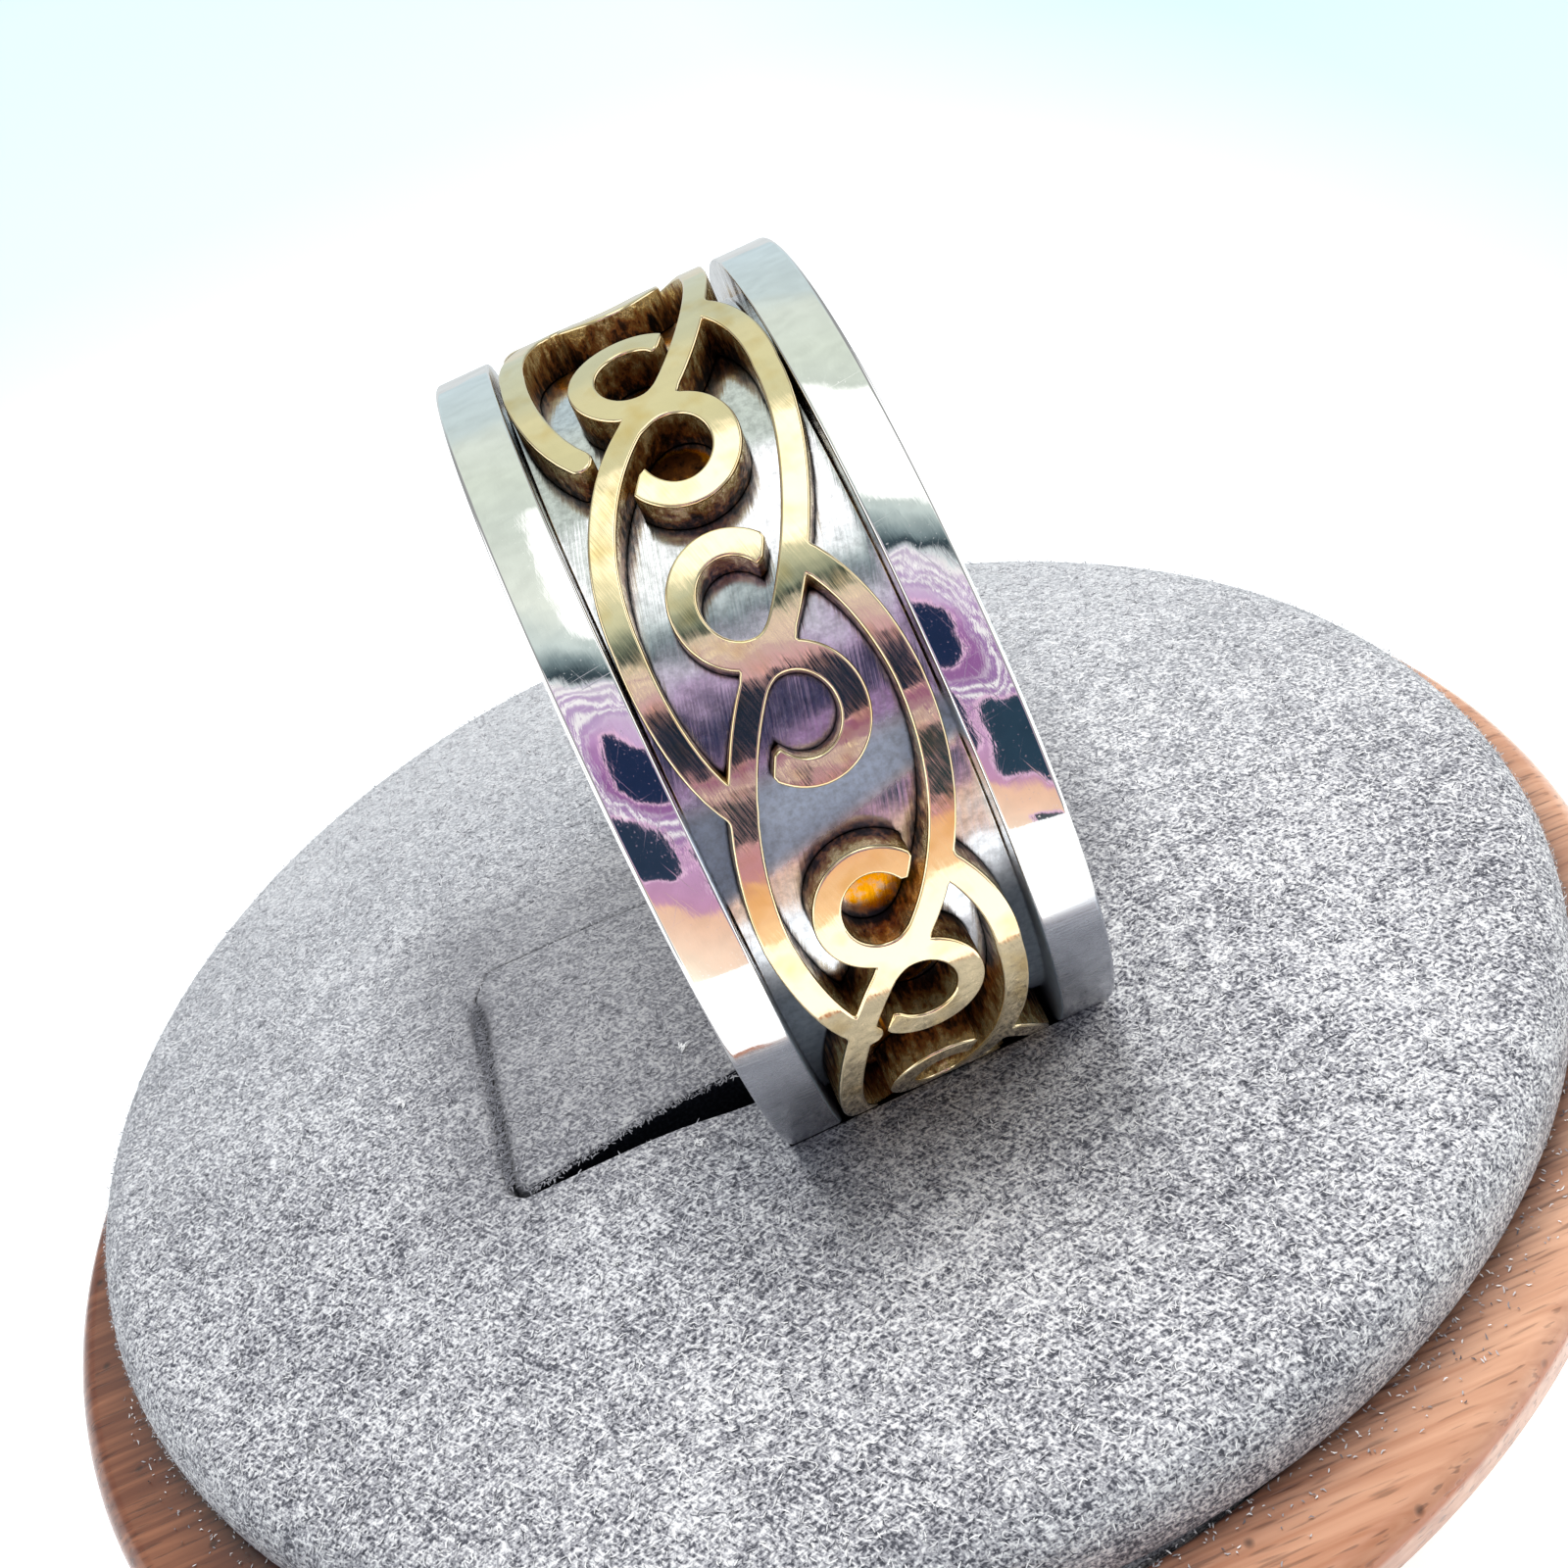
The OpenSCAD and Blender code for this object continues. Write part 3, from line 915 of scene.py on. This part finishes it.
def slitDistance(points):
    (x0, x1), (y0, y1) = pad["tongueX"], pad["tongueY"]
    backHalf, leftHalf, cornerHalf, openHalf = pad["slits"]
    start, end = pad["openAt"]
    nearSide = y0 + openHalf - cornerHalf
    back = distanceToLine(points, [(x1, y1), (x0 + 0.5, y1), (x0, y1 - 0.9)])
    left = distanceToLine(points, [(x0, y1 - 0.9), (x0, y0 + 0.3), (x0 + 0.3, y0)])
    front = distanceToLine(points, [(x0 + 0.3, y0), (end, nearSide), (x1, nearSide)])
    opening = np.clip((points[..., 0] - start) / (end - start), 0, 1)
    front -= cornerHalf + (openHalf - cornerHalf) * opening
    return np.minimum(np.minimum(back - backHalf, left - leftHalf), front)


def lipAt(points):
    back, low, far, near = pad["lips"]
    x, y = points[..., 0], points[..., 1]
    low = low + (back - low) * smoothStep(y, 0.5, 2.4)
    lip = low + (far - low) * smoothStep(-y, *pad["frontLip"]) * smoothStep(x, -8, -3)
    start, end = pad["openAt"]
    opening = np.clip((x - start) / (end - start), 0, 1)
    middle = pad["tongueY"][0] + (pad["slits"][3] - pad["slits"][2]) * opening
    return np.where(y < middle, near, lip)


# How much painted shade the felt gets: on the tongue, round the ring and along the left slit
def feltPaintedShade(x, y):
    amount = 0 * x
    for middle, half, reach, most in pad["paintedShade"]:
        amount = np.maximum(amount, most * (1 - smoothStep(awayFromBox(x, y, middle, half), 0, reach)))
    # painted shade along the left slit's valley
    wide, dark, at, reach = pad["creaseShade"]
    darkest, most = pad["creaseMost"]
    creaseShade = np.exp(-(np.maximum(slitDistance(np.stack([x, y], -1)), 0) / wide) ** 2)
    creaseShade *= dark + (darkest - dark) * np.exp(-((y - at) / reach) ** 2)
    left = (1 - smoothStep(x, -7.9, -7.4)) * (1 - smoothStep(y, 1.6, 2.8)) * smoothStep(y, -5.6, -5.2)
    return amount + (most - amount) * creaseShade * left


def makePad():
    xs, ys = (np.concatenate([np.arange(*stretch) for stretch in pad[key]])
              for key in ("gridX", "gridY"))
    points = np.stack(np.meshgrid(xs, ys, indexing="ij"), -1)
    field = np.maximum(pastPad(points) + pad["shoulder"], lipAt(points) - slitDistance(points))
    grid, here, faces, outline, _ = cutSheet(xs, ys, field)
    atEdge = pastPad(here) > -pad["shoulder"] - 0.3
    slope = np.stack([slitDistance(here - step) - slitDistance(here + step)
                      for step in 0.02 * np.eye(2)], -1)
    slope[atEdge] = here[atEdge] - pad["centre"]
    slope /= np.linalg.norm(slope, axis=1)[:, None] + 1e-9
    lip = np.where(atEdge, pad["shoulder"], lipAt(here))
    top, low, foot = padHeight(*here.T), pad["rim"] + pad["footGap"], pad["footRound"]
    # rows of points down the side: how far outwards and how high
    rows = [(lip * math.sin(a), top - lip * (1 - math.cos(a))) for a in np.arange(7) / 6 * quarterTurn]
    rows += [(lip - atEdge * foot * (1 - math.cos(a)),
              np.where(atEdge, low + foot * (1 - math.sin(a)), pad["rim"]))
             for a in np.multiply((0, 0.4, 0.8, 1), quarterTurn)]
    rows = [np.column_stack([here + slope * outward[:, None], height]) for outward, height in rows]
    neck = rows[-1].copy()
    neck[atEdge, :2] = here[atEdge] * (pad["neck"] / np.hypot(*here[atEdge].T))[:, None]
    neck[~atEdge, 2] = low - 0.4
    under = neck.copy()
    under[:, 2] = pad["under"]
    rows += [neck, under]
    gridTop = np.column_stack([grid, padHeight(*grid.T)])
    inwards = np.minimum(1, (pad["neck"] - 0.1) / np.maximum(np.hypot(*grid.T), 1e-6))
    gridUnder = np.column_stack([grid * inwards[:, None], np.full(len(grid), pad["under"])])
    sheet, walls = shellFaces(len(grid), len(here), faces, outline, len(rows))
    # the lower walls of the front slit get the painted shade
    inSlit = ~atEdge & (here[:, 1] < pad["tongueY"][0] + 2) & (here[:, 0] > pad["tongueX"][0] + 0.4)
    kinds = [0] * len(sheet) + [int(k > 2 and inSlit[-1 - a]) for k in range(len(rows) - 1)
                                for a, b in outline]
    return newPiece("felt_pad", np.concatenate([gridTop, *rows, gridUnder]), sheet + walls,
                    [felt, cutShade], kinds)


# The room that the ring takes up in the felt, as a closed ring of its own
def makeRingRoom():
    half = ring["width"] / 2 + pad["ringGap"]
    inner, outer = ring["boreRadius"] - pad["ringGap"], ring["outerRadius"] + pad["ringGap"]
    section = (inner, half), (inner, -half), (outer, -half), (outer, half)
    u, radius, v, _, _, faces, kinds = turnRound(
        [(*corner, 0.05, 1, 1) for corner in section], placesRound(360), 2)
    return newPiece("ring_room", bendRound(u, v, radius), faces, [felt, cutShade], kinds)


def cutRoom(piece, room):
    cut = piece.modifiers.new("room", "BOOLEAN")
    cut.operation = "DIFFERENCE"
    cut.object = room
    cut.solver = "EXACT"
    shaped = piece.evaluated_get(bpy.context.evaluated_depsgraph_get())
    mesh = bpy.data.meshes.new_from_object(shaped)
    piece.modifiers.clear()
    old = piece.data
    piece.data = mesh
    bpy.data.meshes.remove(old)
    bpy.data.objects.remove(room)
    mesh.set_sharp_from_angle(angle=math.radians(50))
    x, y, z = np.array([point.co for point in mesh.vertices]).T / mm
    mesh.attributes.new("paintedShade", "FLOAT", "POINT").data.foreach_set(
        "value", feltPaintedShade(x, y).astype(np.float32))


padPiece = makePad()
cutRoom(padPiece, makeRingRoom())
standFor(padPiece, "pad")
print("pad made")


# The nap: loose fibres that lie on the felt, as thin bent strips
nap = {
    "count": 46000,            # with the lint, the fringes and what is shed on the wood
    "length": (0.08, 0.26),
    "width": 0.036,            # wool is 0.02 to 0.03 mm, drawn coarser to show
    "lift": (0.0, 0.07),       # height of a fibre's middle over the felt
    "rise": 0.1,               # how far one end may stand up
    "bend": 0.25,
    "lint": [(-10.95, -0.56), (-3.4, -6.45), (-3.05, -3.16), (-6.2, -8.9), (9.5, -7.2)],
    "lintFibres": 14,          # in each speck of lint
    "lintReach": 0.05,
    # fringes on the slits: from, to, how far down, heading in degrees and how many fibres
    "fringes": [((-8.0, -5.42), (-1.4, -4.25), 0.16, -80, 1000),
                ((-8.38, -5.2), (-8.38, 2.0), 0.03, 10, 700)],
    "fringeReach": 0.09,
    "fringeTurn": 0.7,
    "shed": 3200,              # fibres shed on the wood, shorter than the rest
    "shedReach": 0.8,          # mm from the felt's foot, most of them
    "shedLength": 0.5,
    "rimClear": 1.1,           # none lie this near the wood's rim
    "shade": (0.6, 0.35),      # middle and spread, where 0 is dark and 1 light
}


def insideRingRoom(points, margin):
    x, y, z = np.moveaxis(points - ring["centre"], -1, 0)
    lean = math.radians(ring["leanDegrees"])
    along = x * math.cos(lean) + z * math.sin(lean)
    away = np.hypot(y, z * math.cos(lean) - x * math.sin(lean))
    near = (away > ring["boreRadius"] - margin) & (away < ring["outerRadius"] + margin)
    return near & (np.abs(along) < ring["width"] / 2 + margin)


# The pad's surface, shoulder and side, at a share of the way out from its centre
def padSurface(turn, share):
    inner = padReach(np.cos(turn), np.sin(turn)) - pad["shoulder"]
    walked = share * (inner + pad["shoulder"] * quarterTurn)
    out = np.minimum(walked, inner)
    tip = np.clip((walked - inner) / pad["shoulder"], 0, quarterTurn)
    way = np.stack([np.cos(turn), np.sin(turn)], -1)
    place = pad["centre"] + (out + pad["shoulder"] * np.sin(tip))[:, None] * way
    z = padHeight(*(pad["centre"] + out[:, None] * way).T) - pad["shoulder"] * (1 - np.cos(tip))
    return np.column_stack([place, z]), np.column_stack([np.sin(tip)[:, None] * way, np.cos(tip)])


def makeNap():
    count, each = nap["count"], nap["lintFibres"]
    turn = rng.uniform(0, 2 * math.pi, count)
    root, normal = padSurface(turn, np.sqrt(rng.uniform(0, 1, count)))

    def lay(these, places, height):
        root[these, :2] = places
        root[these, 2] = height
        normal[these] = (0, 0, 1)

    for k, speck in enumerate(nap["lint"]):
        places = speck + rng.normal(0, nap["lintReach"], (each, 2))
        lay(slice(k * each, (k + 1) * each), places, padHeight(*places.T) + 0.04)
    linted = first = each * len(nap["lint"])
    heading = rng.uniform(0, 2 * math.pi, count)
    for start, end, down, degrees, many in nap["fringes"]:
        these = slice(first, first + many)
        first += many
        places = np.add(start, rng.uniform(0, 1, (many, 1)) * np.subtract(end, start))
        places += rng.normal(0, nap["fringeReach"], (many, 2))
        lay(these, places, padHeight(*places.T) - down)
        heading[these] = math.radians(degrees) + rng.normal(0, nap["fringeTurn"], many)
    fringed, placed = first, first + nap["shed"]
    way = np.stack([np.cos(turn), np.sin(turn)], -1)[fringed:placed]
    away = padReach(*way.T) - pad["footRound"] + rng.exponential(nap["shedReach"], nap["shed"])
    lay(slice(fringed, placed), pad["centre"] + away[:, None] * way, pad["rim"] + 0.01)
    side = np.cross(normal, np.stack([np.cos(heading), np.sin(heading), 0 * heading], -1))
    side /= np.linalg.norm(side, axis=1)[:, None]
    ahead = np.cross(side, normal)
    length = rng.uniform(*nap["length"], count)
    length[fringed:placed] *= nap["shedLength"]
    lift = rng.uniform(*nap["lift"], count)
    bend = rng.normal(0, nap["bend"], count)
    rise = np.abs(rng.normal(0, nap["rise"], count))
    paintedShade = feltPaintedShade(root[:, 0], root[:, 1])
    middle, most = nap["shade"]
    uneven = most * (1 - 0.7 * smoothStep(root[:, 1], *feltFinish["evenFrom"]))
    shade = np.clip(middle + rng.normal(0, 1, count) * uneven, 0, 1)
    # the fibres get the same painted shade as the felt under them
    shade *= 1 - 0.75 * np.minimum(paintedShade, 1)
    shade[:linted] = 1
    shade[linted:fringed] *= 0.7
    columns = []
    for t in (-0.5, 0.0, 0.5):
        centre = root + ahead * (length * t)[:, None]
        centre += side * (bend * length * (0.25 - t * t) * 2)[:, None]
        centre += normal * (lift * (1 - 3 * t * t) + rise * max(t, 0) + 0.01)[:, None]
        half = nap["width"] / 2 * (1 - 0.6 * abs(t) * 2)
        columns += [centre - side * half, centre + side * half]
    points = np.stack(columns, 1)
    loose = np.arange(count) >= placed
    inSlit = (root[:, 1] < -4.8) & (slitDistance(root[:, :2]) < 0.12)
    thinned = rng.uniform(0, 1, count) <= 0.6 * np.minimum(paintedShade, 0.7)
    clear = ~insideRingRoom(points, 0.01).any(1) & ~(loose & (inSlit | thinned))
    clear &= np.hypot(root[:, 0], root[:, 1]) <= baseHigh[0] - nap["rimClear"]
    points, shade = points[clear], shade[clear]
    start = np.arange(len(points))[:, None] * 6
    faces = np.concatenate([start + np.array([k, k + 2, k + 3, k + 1]) for k in (0, 2)])
    piece = newPiece("felt_nap", points.reshape(-1, 3), faces.tolist(), [fibre],
                     attributes={"shade": np.repeat(shade, 6)})
    standFor(piece, None)


makeNap()
print("nap made")


# The wooden base, turned on a lathe; as it dried it shrank a little across the grain
base = {
    "radius": 22.29,
    "shrunk": 0.015,           # share longer along the grain, which runs along X, and narrower across
    "height": baseHigh[2],
    "foot": 16,
    "recessRadius": 19.35,
    "recessDepth": 2,
    "rimEdge": 0.6,
    "innerEdge": 0.15,
    "footEdge": 0.5,
    "stepsRound": 360,
    "soiledAndShaded": (1.8, 0.88),     # how far from the felt the dirt and painted shade reach, and how dark they are
    "worn": (0.42, 0.1, 0.9),  # where the rim's edge is worn: depth below the top, reach, amount
}


def makeBase():
    rim, height, recess = base["radius"], base["height"], base["recessRadius"]
    floor, steps = height - base["recessDepth"], base["stepsRound"]
    turn, radius, z, nr, nz, faces, _ = turnRound([
        (0.2, floor, 0.05, 1, 0),
        (0.2, 0, 0.05, 1, 0),
        (base["foot"], 0, base["footEdge"], 12, 0),
        (rim, height - 1.2, 0.2, 1, 0),
        (rim, height, base["rimEdge"], 18, 0),
        (recess, height, base["innerEdge"], 2, 0),
        (recess, floor, 0.1, 4, 0),
    ], np.arange(steps) * 2 * math.pi / steps, 6)
    radius *= 1 + base["shrunk"] * np.cos(2 * turn) * smoothStep(radius, recess, rim)
    points = np.stack([radius * np.cos(turn), radius * np.sin(turn), z], -1)
    normals = np.stack([nr * np.cos(turn), nr * np.sin(turn), nz], -1)
    reach, most = base["soiledAndShaded"]
    fromFelt = pastPad(points) + pad["footRound"]
    soiledAndShaded = most * (1 - smoothStep(fromFelt, 0.1, reach)) * (z > height - 0.3)
    below, spread, amount = base["worn"]
    worn = amount * np.exp(-((height - z - below) / spread) ** 2) * (radius > rim - 1)
    piece = newPiece("wooden_base", points, faces, [wood], None, normals,
                     {"soiledAndShaded": soiledAndShaded, "worn": worn})
    standFor(piece, "base")


makeBase()
print("base made")


# Studio: a pale floor, soft light and the camera. The metal mirrors a room: soft white overhead, a
# dark edge, a mauve stretch with navy patches in front and peach below it.
studio = {
    "floorGlow": 0.55,
    # behind the piece the floor is a cool pale grey by its distance in mm from this place, which
    # takes down the light that falls there; in front it stays white
    "floorMiddle": (-20, 36, 0),
    "floorShades": [(45, "#F8FCFD"), (62, "#DADFDF"), (80, "#D3DCDC"), (100, "#D1DDDD"),
                    (131, "#D7E8E8"), (180, "#DFF4F4"), (240, "#E7FDFD")],
    "floorBehind": (0, 35),    # mm along Y
    "floorCool": "#DCFFFF",    # cooler still on the right, between these along X and this far out
    "coolFrom": ((25, 55), (95, 170)),
    "floorRadius": 66,         # the metal mirrors the floor this far out, and the room beyond
    "floorReach": 3000,
    "floorSteps": 96,          # corners of the floor's circles
    "slant": 0.5,              # the zones lie lower to the right, by this share of the angle aside
    "wobble": (7, 5),          # degrees that they waver by, up and aside
    "wobbleScale": 8.0,
    # degrees up from the horizon in front, colour and brightness
    "zones": [
        (-180, "#D9DEE0", 1.0), (-60, "#F4F6F6", 1.1), (-45, "#FFFFFF", 1.5), (-28, "#FFFFFF", 1.5),
        (-22, "#FFE9D2", 1.1), (-17, "#FBDAC2", 1.05), (-7.6, "#F3C5A9", 1.0), (-7.0, "#C996B8", 1.0),
        (2, "#C79BC2", 1.0), (10, "#A679AC", 1.0), (24, "#92609A", 1.0), (31, "#9C69A4", 1.0),
        (38, "#BE93C4", 1.0), (44, "#D6BEDF", 1.0), (50, "#DCCBE2", 1.0), (50.6, "#FBF8FA", 1.0),
        (51.3, "#9AA0AE", 1.0), (52.0, "#FBF8FA", 1.0), (52.7, "#66737C", 1.0), (53.4, "#DCE6EA", 1.0),
        (54.0, "#2B3943", 1.0), (56, "#34444C", 1.0), (59, "#7E9094", 1.0), (65, "#CAD8D6", 1.0),
        (76, "#E6EDE3", 1.05), (104, "#D5DFD5", 1.0), (119, "#DCE6D9", 1.0), (136, "#DDE6DC", 1.0),
        (146, "#CAD9DA", 1.0), (180, "#CDDEE4", 1.0),
    ],
    # rounded patches: angle up and aside, half sizes and rounding, all in degrees, and colour
    "patches": [(31, -1.2, 9.0, 7.0, 6, "#1F2D4C"), (7.5, -8.5, 7.0, 9.0, 5, "#2A394F"),
                (4.5, 12.0, 10.0, 8.5, 4, "#2C4254"), (-17, 13.5, 2.2, 5.0, 2, "#454E55")],
    "patchLine": "#EBC2E2",
    "patchEdges": ((0.9, 1.3), (0.1, 0.35)),    # degrees out at which the line and the patch end
    # the softbox overhead as the metal mirrors it: middle, half sizes and rounding, and how bright
    "window": (87, 9.5, 18, 13, 3, 1.7),
    "windowEdge": (-1.5, 1.5),      # degrees over which it fades out
    # pale threads round the first patch: how far from it they start and end, and their spacing
    "threads": (4.0, 14.0, 2.3),
    "threadsAbove": (11, 14),
    "threadWaver": 9.0,        # how much the threads waver
    "threadWidth": (-0.1, 0.5),     # the wave's heights at which a thread starts and is full
    "between": 0.6,            # how much of the colour between the threads
    "thread": "#FFFDFF",
    "betweenThreads": "#A585BC",
    # beside the zones, degrees aside and brightness: a grey gap, then bright walls
    "besides": [(22, 1.0), (30, 0.35), (46, 0.4), (54, 1.7), (74, 1.3), (90, 0.75)],
    "sides": "#F4F6F7",
    "mottle": (16, 0.93, 1.07),     # patchiness of all of it: scale, lowest and highest
    "backdrop": "#EFF6F8",     # what the camera sees past the floor
    "diffuse": 0.36,           # strength and colour of the room's light on matt surfaces
    "diffuseColour": "#DCE4F4",
}


def makeFloor():
    material, add = newMaterial("pale_floor")
    place = add("TexCoord", output="Object")
    x, y = (add("SeparateXYZ", (place,), output=axis) for axis in "XY")
    away = add("VectorMath", (place, [c * mm for c in studio["floorMiddle"]]), output="Value",
               operation="DISTANCE")
    shades = studio["floorShades"]
    reach = shades[-1][0]
    (left, right), (inner, outer) = np.multiply(studio["coolFrom"], mm).tolist()
    start, end = studio["floorBehind"]
    behind = add("MapRange", (y, start * mm, end * mm))
    cooler = add("MapRange", (x, left, right))
    for amount in (add("MapRange", (away, inner, outer, 1.0, 0.0)), behind):
        cooler = add("Math", (cooler, amount), operation="MULTIPLY")
    share = add("Math", (away, reach * mm), operation="DIVIDE")
    shade = add("ValToRGB", (share,), [(at / reach, colour) for at, colour in shades])
    colour = add("Mix", {0: behind, 6: shades[0][1], 7: shade}, **colourMix)
    colour = add("Mix", {0: cooler, 6: colour, 7: studio["floorCool"]}, **colourMix,
                 blend_type="MULTIPLY")
    surfaced(material, {"Base Color": colour, "Roughness": 0.6, "Emission Color": colour,
                        "Emission Strength": studio["floorGlow"]})
    steps = studio["floorSteps"]
    turn = np.arange(steps) * 2 * math.pi / steps
    circle = np.stack([np.cos(turn), np.sin(turn), 0 * turn], -1)
    near = newPiece("floor_near", circle * studio["floorRadius"], [list(range(steps))], [material])
    wide = np.concatenate([circle * studio["floorRadius"], circle * studio["floorReach"]])
    rim = [[k, k + steps, (k + 1) % steps + steps, (k + 1) % steps] for k in range(steps)]
    far = newPiece("floor_far", wide, rim, [material])
    far.visible_glossy = False


def makeWorld():
    world = bpy.data.worlds.new("studio")
    scene.world = world
    world.use_nodes = True
    world.node_tree.nodes.clear()
    add = partial(addNode, world.node_tree)
    place = add("TexCoord", output="Generated")
    x, y, z = (add("SeparateXYZ", (place,), output=axis) for axis in "XYZ")
    ripple = add("TexNoise", {"Vector": place, "Scale": studio["wobbleScale"], "Detail": 3.0},
                 output="Color")
    rippleX, rippleY, rippleZ = (add("SeparateXYZ", (ripple,), output=axis) for axis in "XYZ")
    towards = add("Math", (y, -1.0), operation="MULTIPLY")
    angles = (add("Math", (z, towards), operation="ARCTAN2"), add("Math", (x,), operation="ARCSINE"))
    height, sideways = (add("Math", (angle, 180 / math.pi), operation="MULTIPLY") for angle in angles)

    def wavering(angle, ripple, degrees):
        ripple = add("Math", (ripple, 0.5), operation="SUBTRACT")
        ripple = add("Math", (ripple, degrees), operation="MULTIPLY")
        return add("Math", (ripple, angle), operation="ADD")

    tall, wide = studio["wobble"]
    slanted = add("Math", (sideways, studio["slant"]), operation="MULTIPLY")
    up = add("Math", (wavering(height, rippleX, tall), slanted), operation="ADD")
    aside = wavering(sideways, rippleY, wide)
    share = add("MapRange", (up, -180, 180))
    zones = [((angle + 180) / 360, shade, level / 2) for angle, shade, level in studio["zones"]]
    colour = add("ValToRGB", (share,), [(at, shade) for at, shade, level in zones])
    glow = add("ValToRGB", (share,), [(at, level) for at, shade, level in zones])

    def distanceTo(middle, side, halfTall, halfWide, rounding):
        squares = []
        for value, at, half in ((up, middle, halfTall), (aside, side, halfWide)):
            for operation, other in (("SUBTRACT", at), ("ABSOLUTE", 0.0), ("SUBTRACT", half - rounding),
                                     ("MAXIMUM", 0.0), ("POWER", 2.0)):
                value = add("Math", (value, other), operation=operation)
            squares.append(value)
        away = add("Math", (add("Math", squares, operation="ADD"),), operation="SQRT")
        return add("Math", (away, rounding), operation="SUBTRACT")

    near, far, spacing = studio["threads"]
    away = distanceTo(*studio["patches"][0][:5])
    inThreads = add("MapRange", (away, near - 1, near + 1))
    for amount in (add("MapRange", (away, far - 1, far, 1.0, 0.0)),
                   add("MapRange", (up, *studio["threadsAbove"]))):
        inThreads = add("Math", (inThreads, amount), operation="MULTIPLY")
    waver = add("Math", (rippleZ, studio["threadWaver"]), operation="MULTIPLY")
    phase = add("Math", (away, 2 * math.pi / spacing), operation="MULTIPLY")
    wave = add("Math", (add("Math", (waver, phase), operation="ADD"),), operation="SINE")
    onThread = add("MapRange", (wave, *studio["threadWidth"]))
    for amount, shade in ((studio["between"], studio["betweenThreads"]), (onThread, studio["thread"])):
        amount = add("Math", (inThreads, amount), operation="MULTIPLY")
        colour = add("Mix", {0: amount, 6: colour, 7: shade}, **colourMix)
    for *box, patch in studio["patches"]:
        away = distanceTo(*box)
        for edge, shade in zip(studio["patchEdges"], (studio["patchLine"], patch)):
            inside = add("MapRange", (away, *edge, 1.0, 0.0))
            colour = add("Mix", {0: inside, 6: colour, 7: shade}, **colourMix)
    *box, level = studio["window"]
    window = add("MapRange", (distanceTo(*box), *studio["windowEdge"], 1.0, 0.0))
    away = add("Math", (sideways,), operation="ABSOLUTE")
    besides = studio["besides"]
    beside = add("MapRange", (away, besides[0][0], besides[1][0]))
    besideGlow = add("ValToRGB", (add("MapRange", (away, 0, 90)),),
                     [(angle / 90, brightness / 2) for angle, brightness in besides])
    size, low, high = studio["mottle"]
    mottle = add("TexNoise", {"Vector": place, "Scale": size})
    # both ramps hold half the brightness, so that it fits their range
    strength = add("Math", (glow, 4.0), operation="MULTIPLY")
    for factor in (besideGlow, add("MapRange", (mottle, *noiseRange, low, high))):
        strength = add("Math", (strength, factor), operation="MULTIPLY")
    brighter = add("Math", (window, level - 1), operation="MULTIPLY")
    strength = add("Math", (brighter, strength), operation="ADD")
    isMatt = add("LightPath", output="Is Diffuse Ray")
    seen = add("LightPath", output="Is Camera Ray")
    for ray, flat in ((isMatt, studio["diffuse"]), (seen, 1.0)):
        strength = add("Mix", {0: ray, 2: strength, 3: flat})
    for amount, over in ((window, "#FFFFFF"), (beside, studio["sides"]),
                         (isMatt, studio["diffuseColour"]), (seen, studio["backdrop"])):
        colour = add("Mix", {0: amount, 6: colour, 7: over}, **colourMix)
    add("OutputWorld", {"Surface": add("Background", {"Color": colour, "Strength": strength})})


# Softboxes: place and target in mm, width and depth in mm, brightness against white, colour
softboxes = {
    "overhead": ((0, 36, 212), (2, 0, 12), (90, 90), 13.9, "#FFFFFF"),
    "right": ((140, -10, 140), (5, 0, 12), (90, 80), 6.3, "#FFFBF4"),
}


def makeLights():
    for name, (place, target, size, brightness, colour) in softboxes.items():
        data = bpy.data.lights.new(name, "AREA")
        data.shape = "RECTANGLE"
        data.size, data.size_y = size[0] * mm, size[1] * mm
        data.energy = brightness * math.pi * data.size * data.size_y
        data.color = hexColour(colour)[:3]
        light = bpy.data.objects.new(name, data)
        scene.collection.objects.link(light)
        light.location = [c * mm for c in place]
        aim = Vector(target) - Vector(place)
        light.rotation_euler = aim.to_track_quat("-Z", "Y").to_euler()
        light.visible_glossy = False


shot = {
    "place": (0.54, -40.007, 46.663),
    "turnDegrees": 2.277,      # towards +X from +Y
    "downDegrees": 36.327,
    "rollDegrees": -21.482,
    "lens": 42.93,
    "sensor": 36,
    "clip": (0.001, 20),       # metres
}


def makeCamera():
    data = bpy.data.cameras.new("camera")
    data.lens = shot["lens"]
    data.sensor_width = shot["sensor"]
    data.clip_start, data.clip_end = shot["clip"]
    camera = bpy.data.objects.new("camera", data)
    scene.collection.objects.link(camera)
    turn = Matrix.Rotation(-math.radians(shot["turnDegrees"]), 4, "Z")
    tilt = Matrix.Rotation(math.radians(90 - shot["downDegrees"]), 4, "X")
    roll = Matrix.Rotation(math.radians(shot["rollDegrees"]), 4, "Z")
    place = Matrix.Translation([c * mm for c in shot["place"]])
    camera.matrix_world = place @ turn @ tilt @ roll
    scene.camera = camera


makeFloor()
makeWorld()
makeLights()
makeCamera()
scene.view_settings.view_transform = "Standard"
scene.cycles.max_bounces = 5
scene.cycles.diffuse_bounces = 2
scene.cycles.glossy_bounces = 3
print("studio made")
